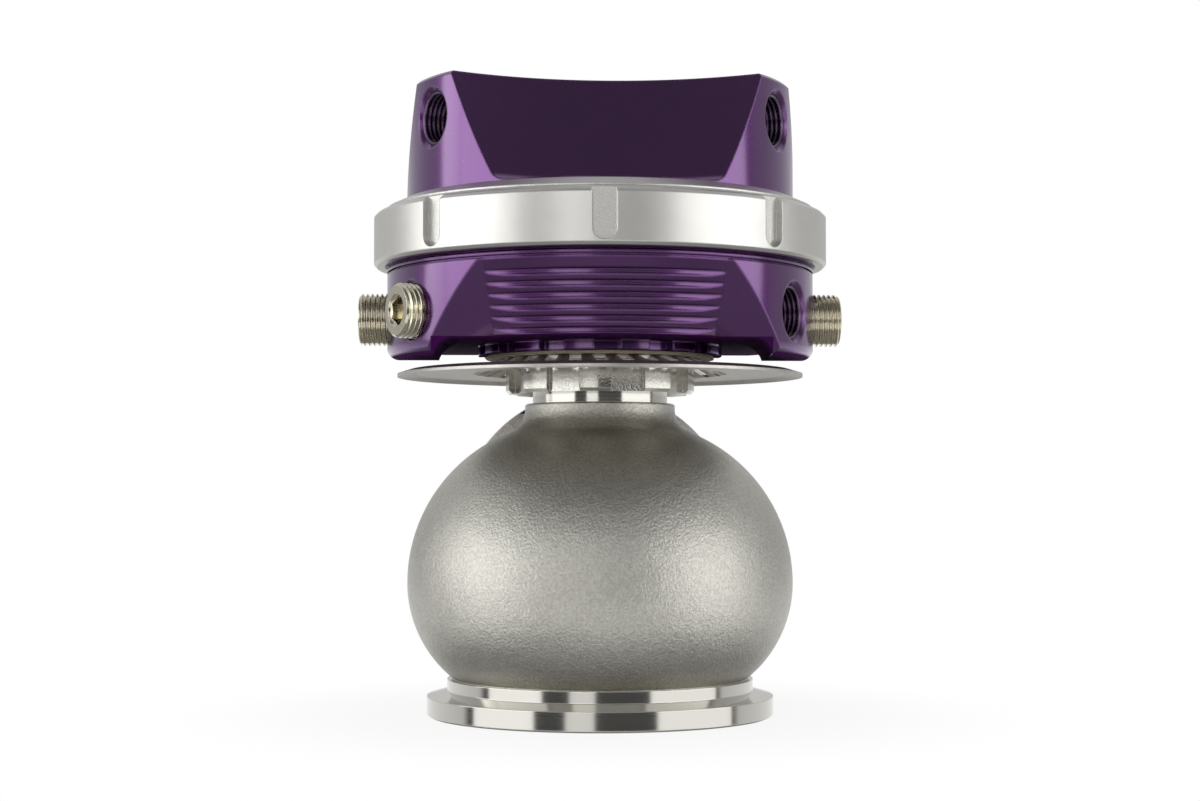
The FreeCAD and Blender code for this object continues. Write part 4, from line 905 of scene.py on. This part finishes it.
def paper_white(studio):
    """Matt white paper that glows towards plain white away from the part, so that it meets the
    backdrop. Metal sees the studio's pale table in its place."""
    material, tree = new_material("floor_paper")
    mm = millimetres(tree)
    reach = add(tree, "ShaderNodeVectorMath", {0: mm}, operation="LENGTH").outputs[1]
    share = add(tree, RAMP, span(reach, 30.0, 90.0, 0.88, 1.0), interpolation_type=SOFT)
    path = add(tree, "ShaderNodeLightPath").outputs
    tooth = add(tree, NOISE, grains(mm, 0.5))
    relief = add(tree, BUMP, {"Height": tooth, "Distance": 0.01 * MM})
    paper = add(tree, "ShaderNodeBsdfPrincipled", {
        "Base Color": rgba(studio.floor_colour), "Roughness": 0.9, "Normal": relief})
    glow = add(tree, "ShaderNodeEmission", {"Color": WHITE, "Strength": 1.0})
    lit = add(tree, MATH, {0: share, 1: path["Is Camera Ray"]}, operation="MULTIPLY")
    seen = add(tree, "ShaderNodeMixShader", {0: lit, 1: paper, 2: glow})
    clear = add(tree, "ShaderNodeBsdfTransparent")
    whole = add(tree, "ShaderNodeMixShader", {0: path["Is Glossy Ray"], 1: seen, 2: clear})
    add(tree, "ShaderNodeOutputMaterial", {"Surface": whole})
    return material


# The table's near edge and where it fills the view, as heights in degrees, and how far its
# dark part drops towards the sides.
TABLE_EDGE = -10.0
TABLE_FULL = -18.0
TABLE_LEAN = 0.16
WHITE = (1.0, 1.0, 1.0, 1.0)


class WASTEGATE_OT_stage(bpy.types.Operator):
    """Set the floor, the light and the camera"""
    bl_idname = "wastegate.stage"
    bl_label = "Set the stage"

    def execute(self, context):
        scene = context.scene
        studio = scene.wastegate_studio
        scene.view_settings.view_transform = "Standard"
        build_world(scene)
        deselect_all()
        bpy.ops.mesh.primitive_circle_add(vertices=96, radius=studio.floor_radius,
                                          fill_type="NGON", location=(0, 0, 0))
        floor = context.object
        floor.name = "floor"
        floor.data.materials.append(paper_white(studio))
        turn = studio.camera_turn
        away = studio.camera_distance
        bpy.ops.object.camera_add(
            location=(-away * sin(turn), -away * cos(turn), studio.camera_height),
            rotation=(pi / 2 + studio.camera_pitch, 0, -turn))
        camera = context.object
        camera.name = "photo_camera"
        camera.data.sensor_width = 36.0
        camera.data.lens = studio.focal_length
        camera.data.clip_start = 0.01
        scene.camera = camera
        return {"FINISHED"}


class WASTEGATE_PT_panel(bpy.types.Panel):
    """Sidebar panel that lists the steps"""
    bl_idname = "WASTEGATE_PT_panel"
    bl_label = "Wastegate"
    bl_space_type = "VIEW_3D"
    bl_region_type = "UI"
    bl_category = "Wastegate"

    def draw(self, context):
        for operator in OPERATORS:
            self.layout.operator(operator.bl_idname)


GROUPS = {"wastegate_finishes": WastegateFinishes, "wastegate_sizes": WastegateSizes,
          "wastegate_studio": WastegateStudio}
OPERATORS = (WASTEGATE_OT_stage, WASTEGATE_OT_steel, WASTEGATE_OT_actuator,
             WASTEGATE_OT_inner_pieces, WASTEGATE_OT_spring_pack, WASTEGATE_OT_port_plugs,
             WASTEGATE_OT_port_threads)


def register():
    for name, group in GROUPS.items():
        bpy.utils.register_class(group)
        setattr(bpy.types.Scene, name, bpy.props.PointerProperty(type=group))
    for operator in OPERATORS:
        bpy.utils.register_class(operator)
    bpy.utils.register_class(WASTEGATE_PT_panel)


def unregister():
    bpy.utils.unregister_class(WASTEGATE_PT_panel)
    for operator in reversed(OPERATORS):
        bpy.utils.unregister_class(operator)
    for name, group in reversed(list(GROUPS.items())):
        delattr(bpy.types.Scene, name)
        bpy.utils.unregister_class(group)


def main():
    register()
    for operator in OPERATORS:
        group, name = operator.bl_idname.split(".")
        getattr(getattr(bpy.ops, group), name)()
    deselect_all()


if __name__ == "__main__":
    main()
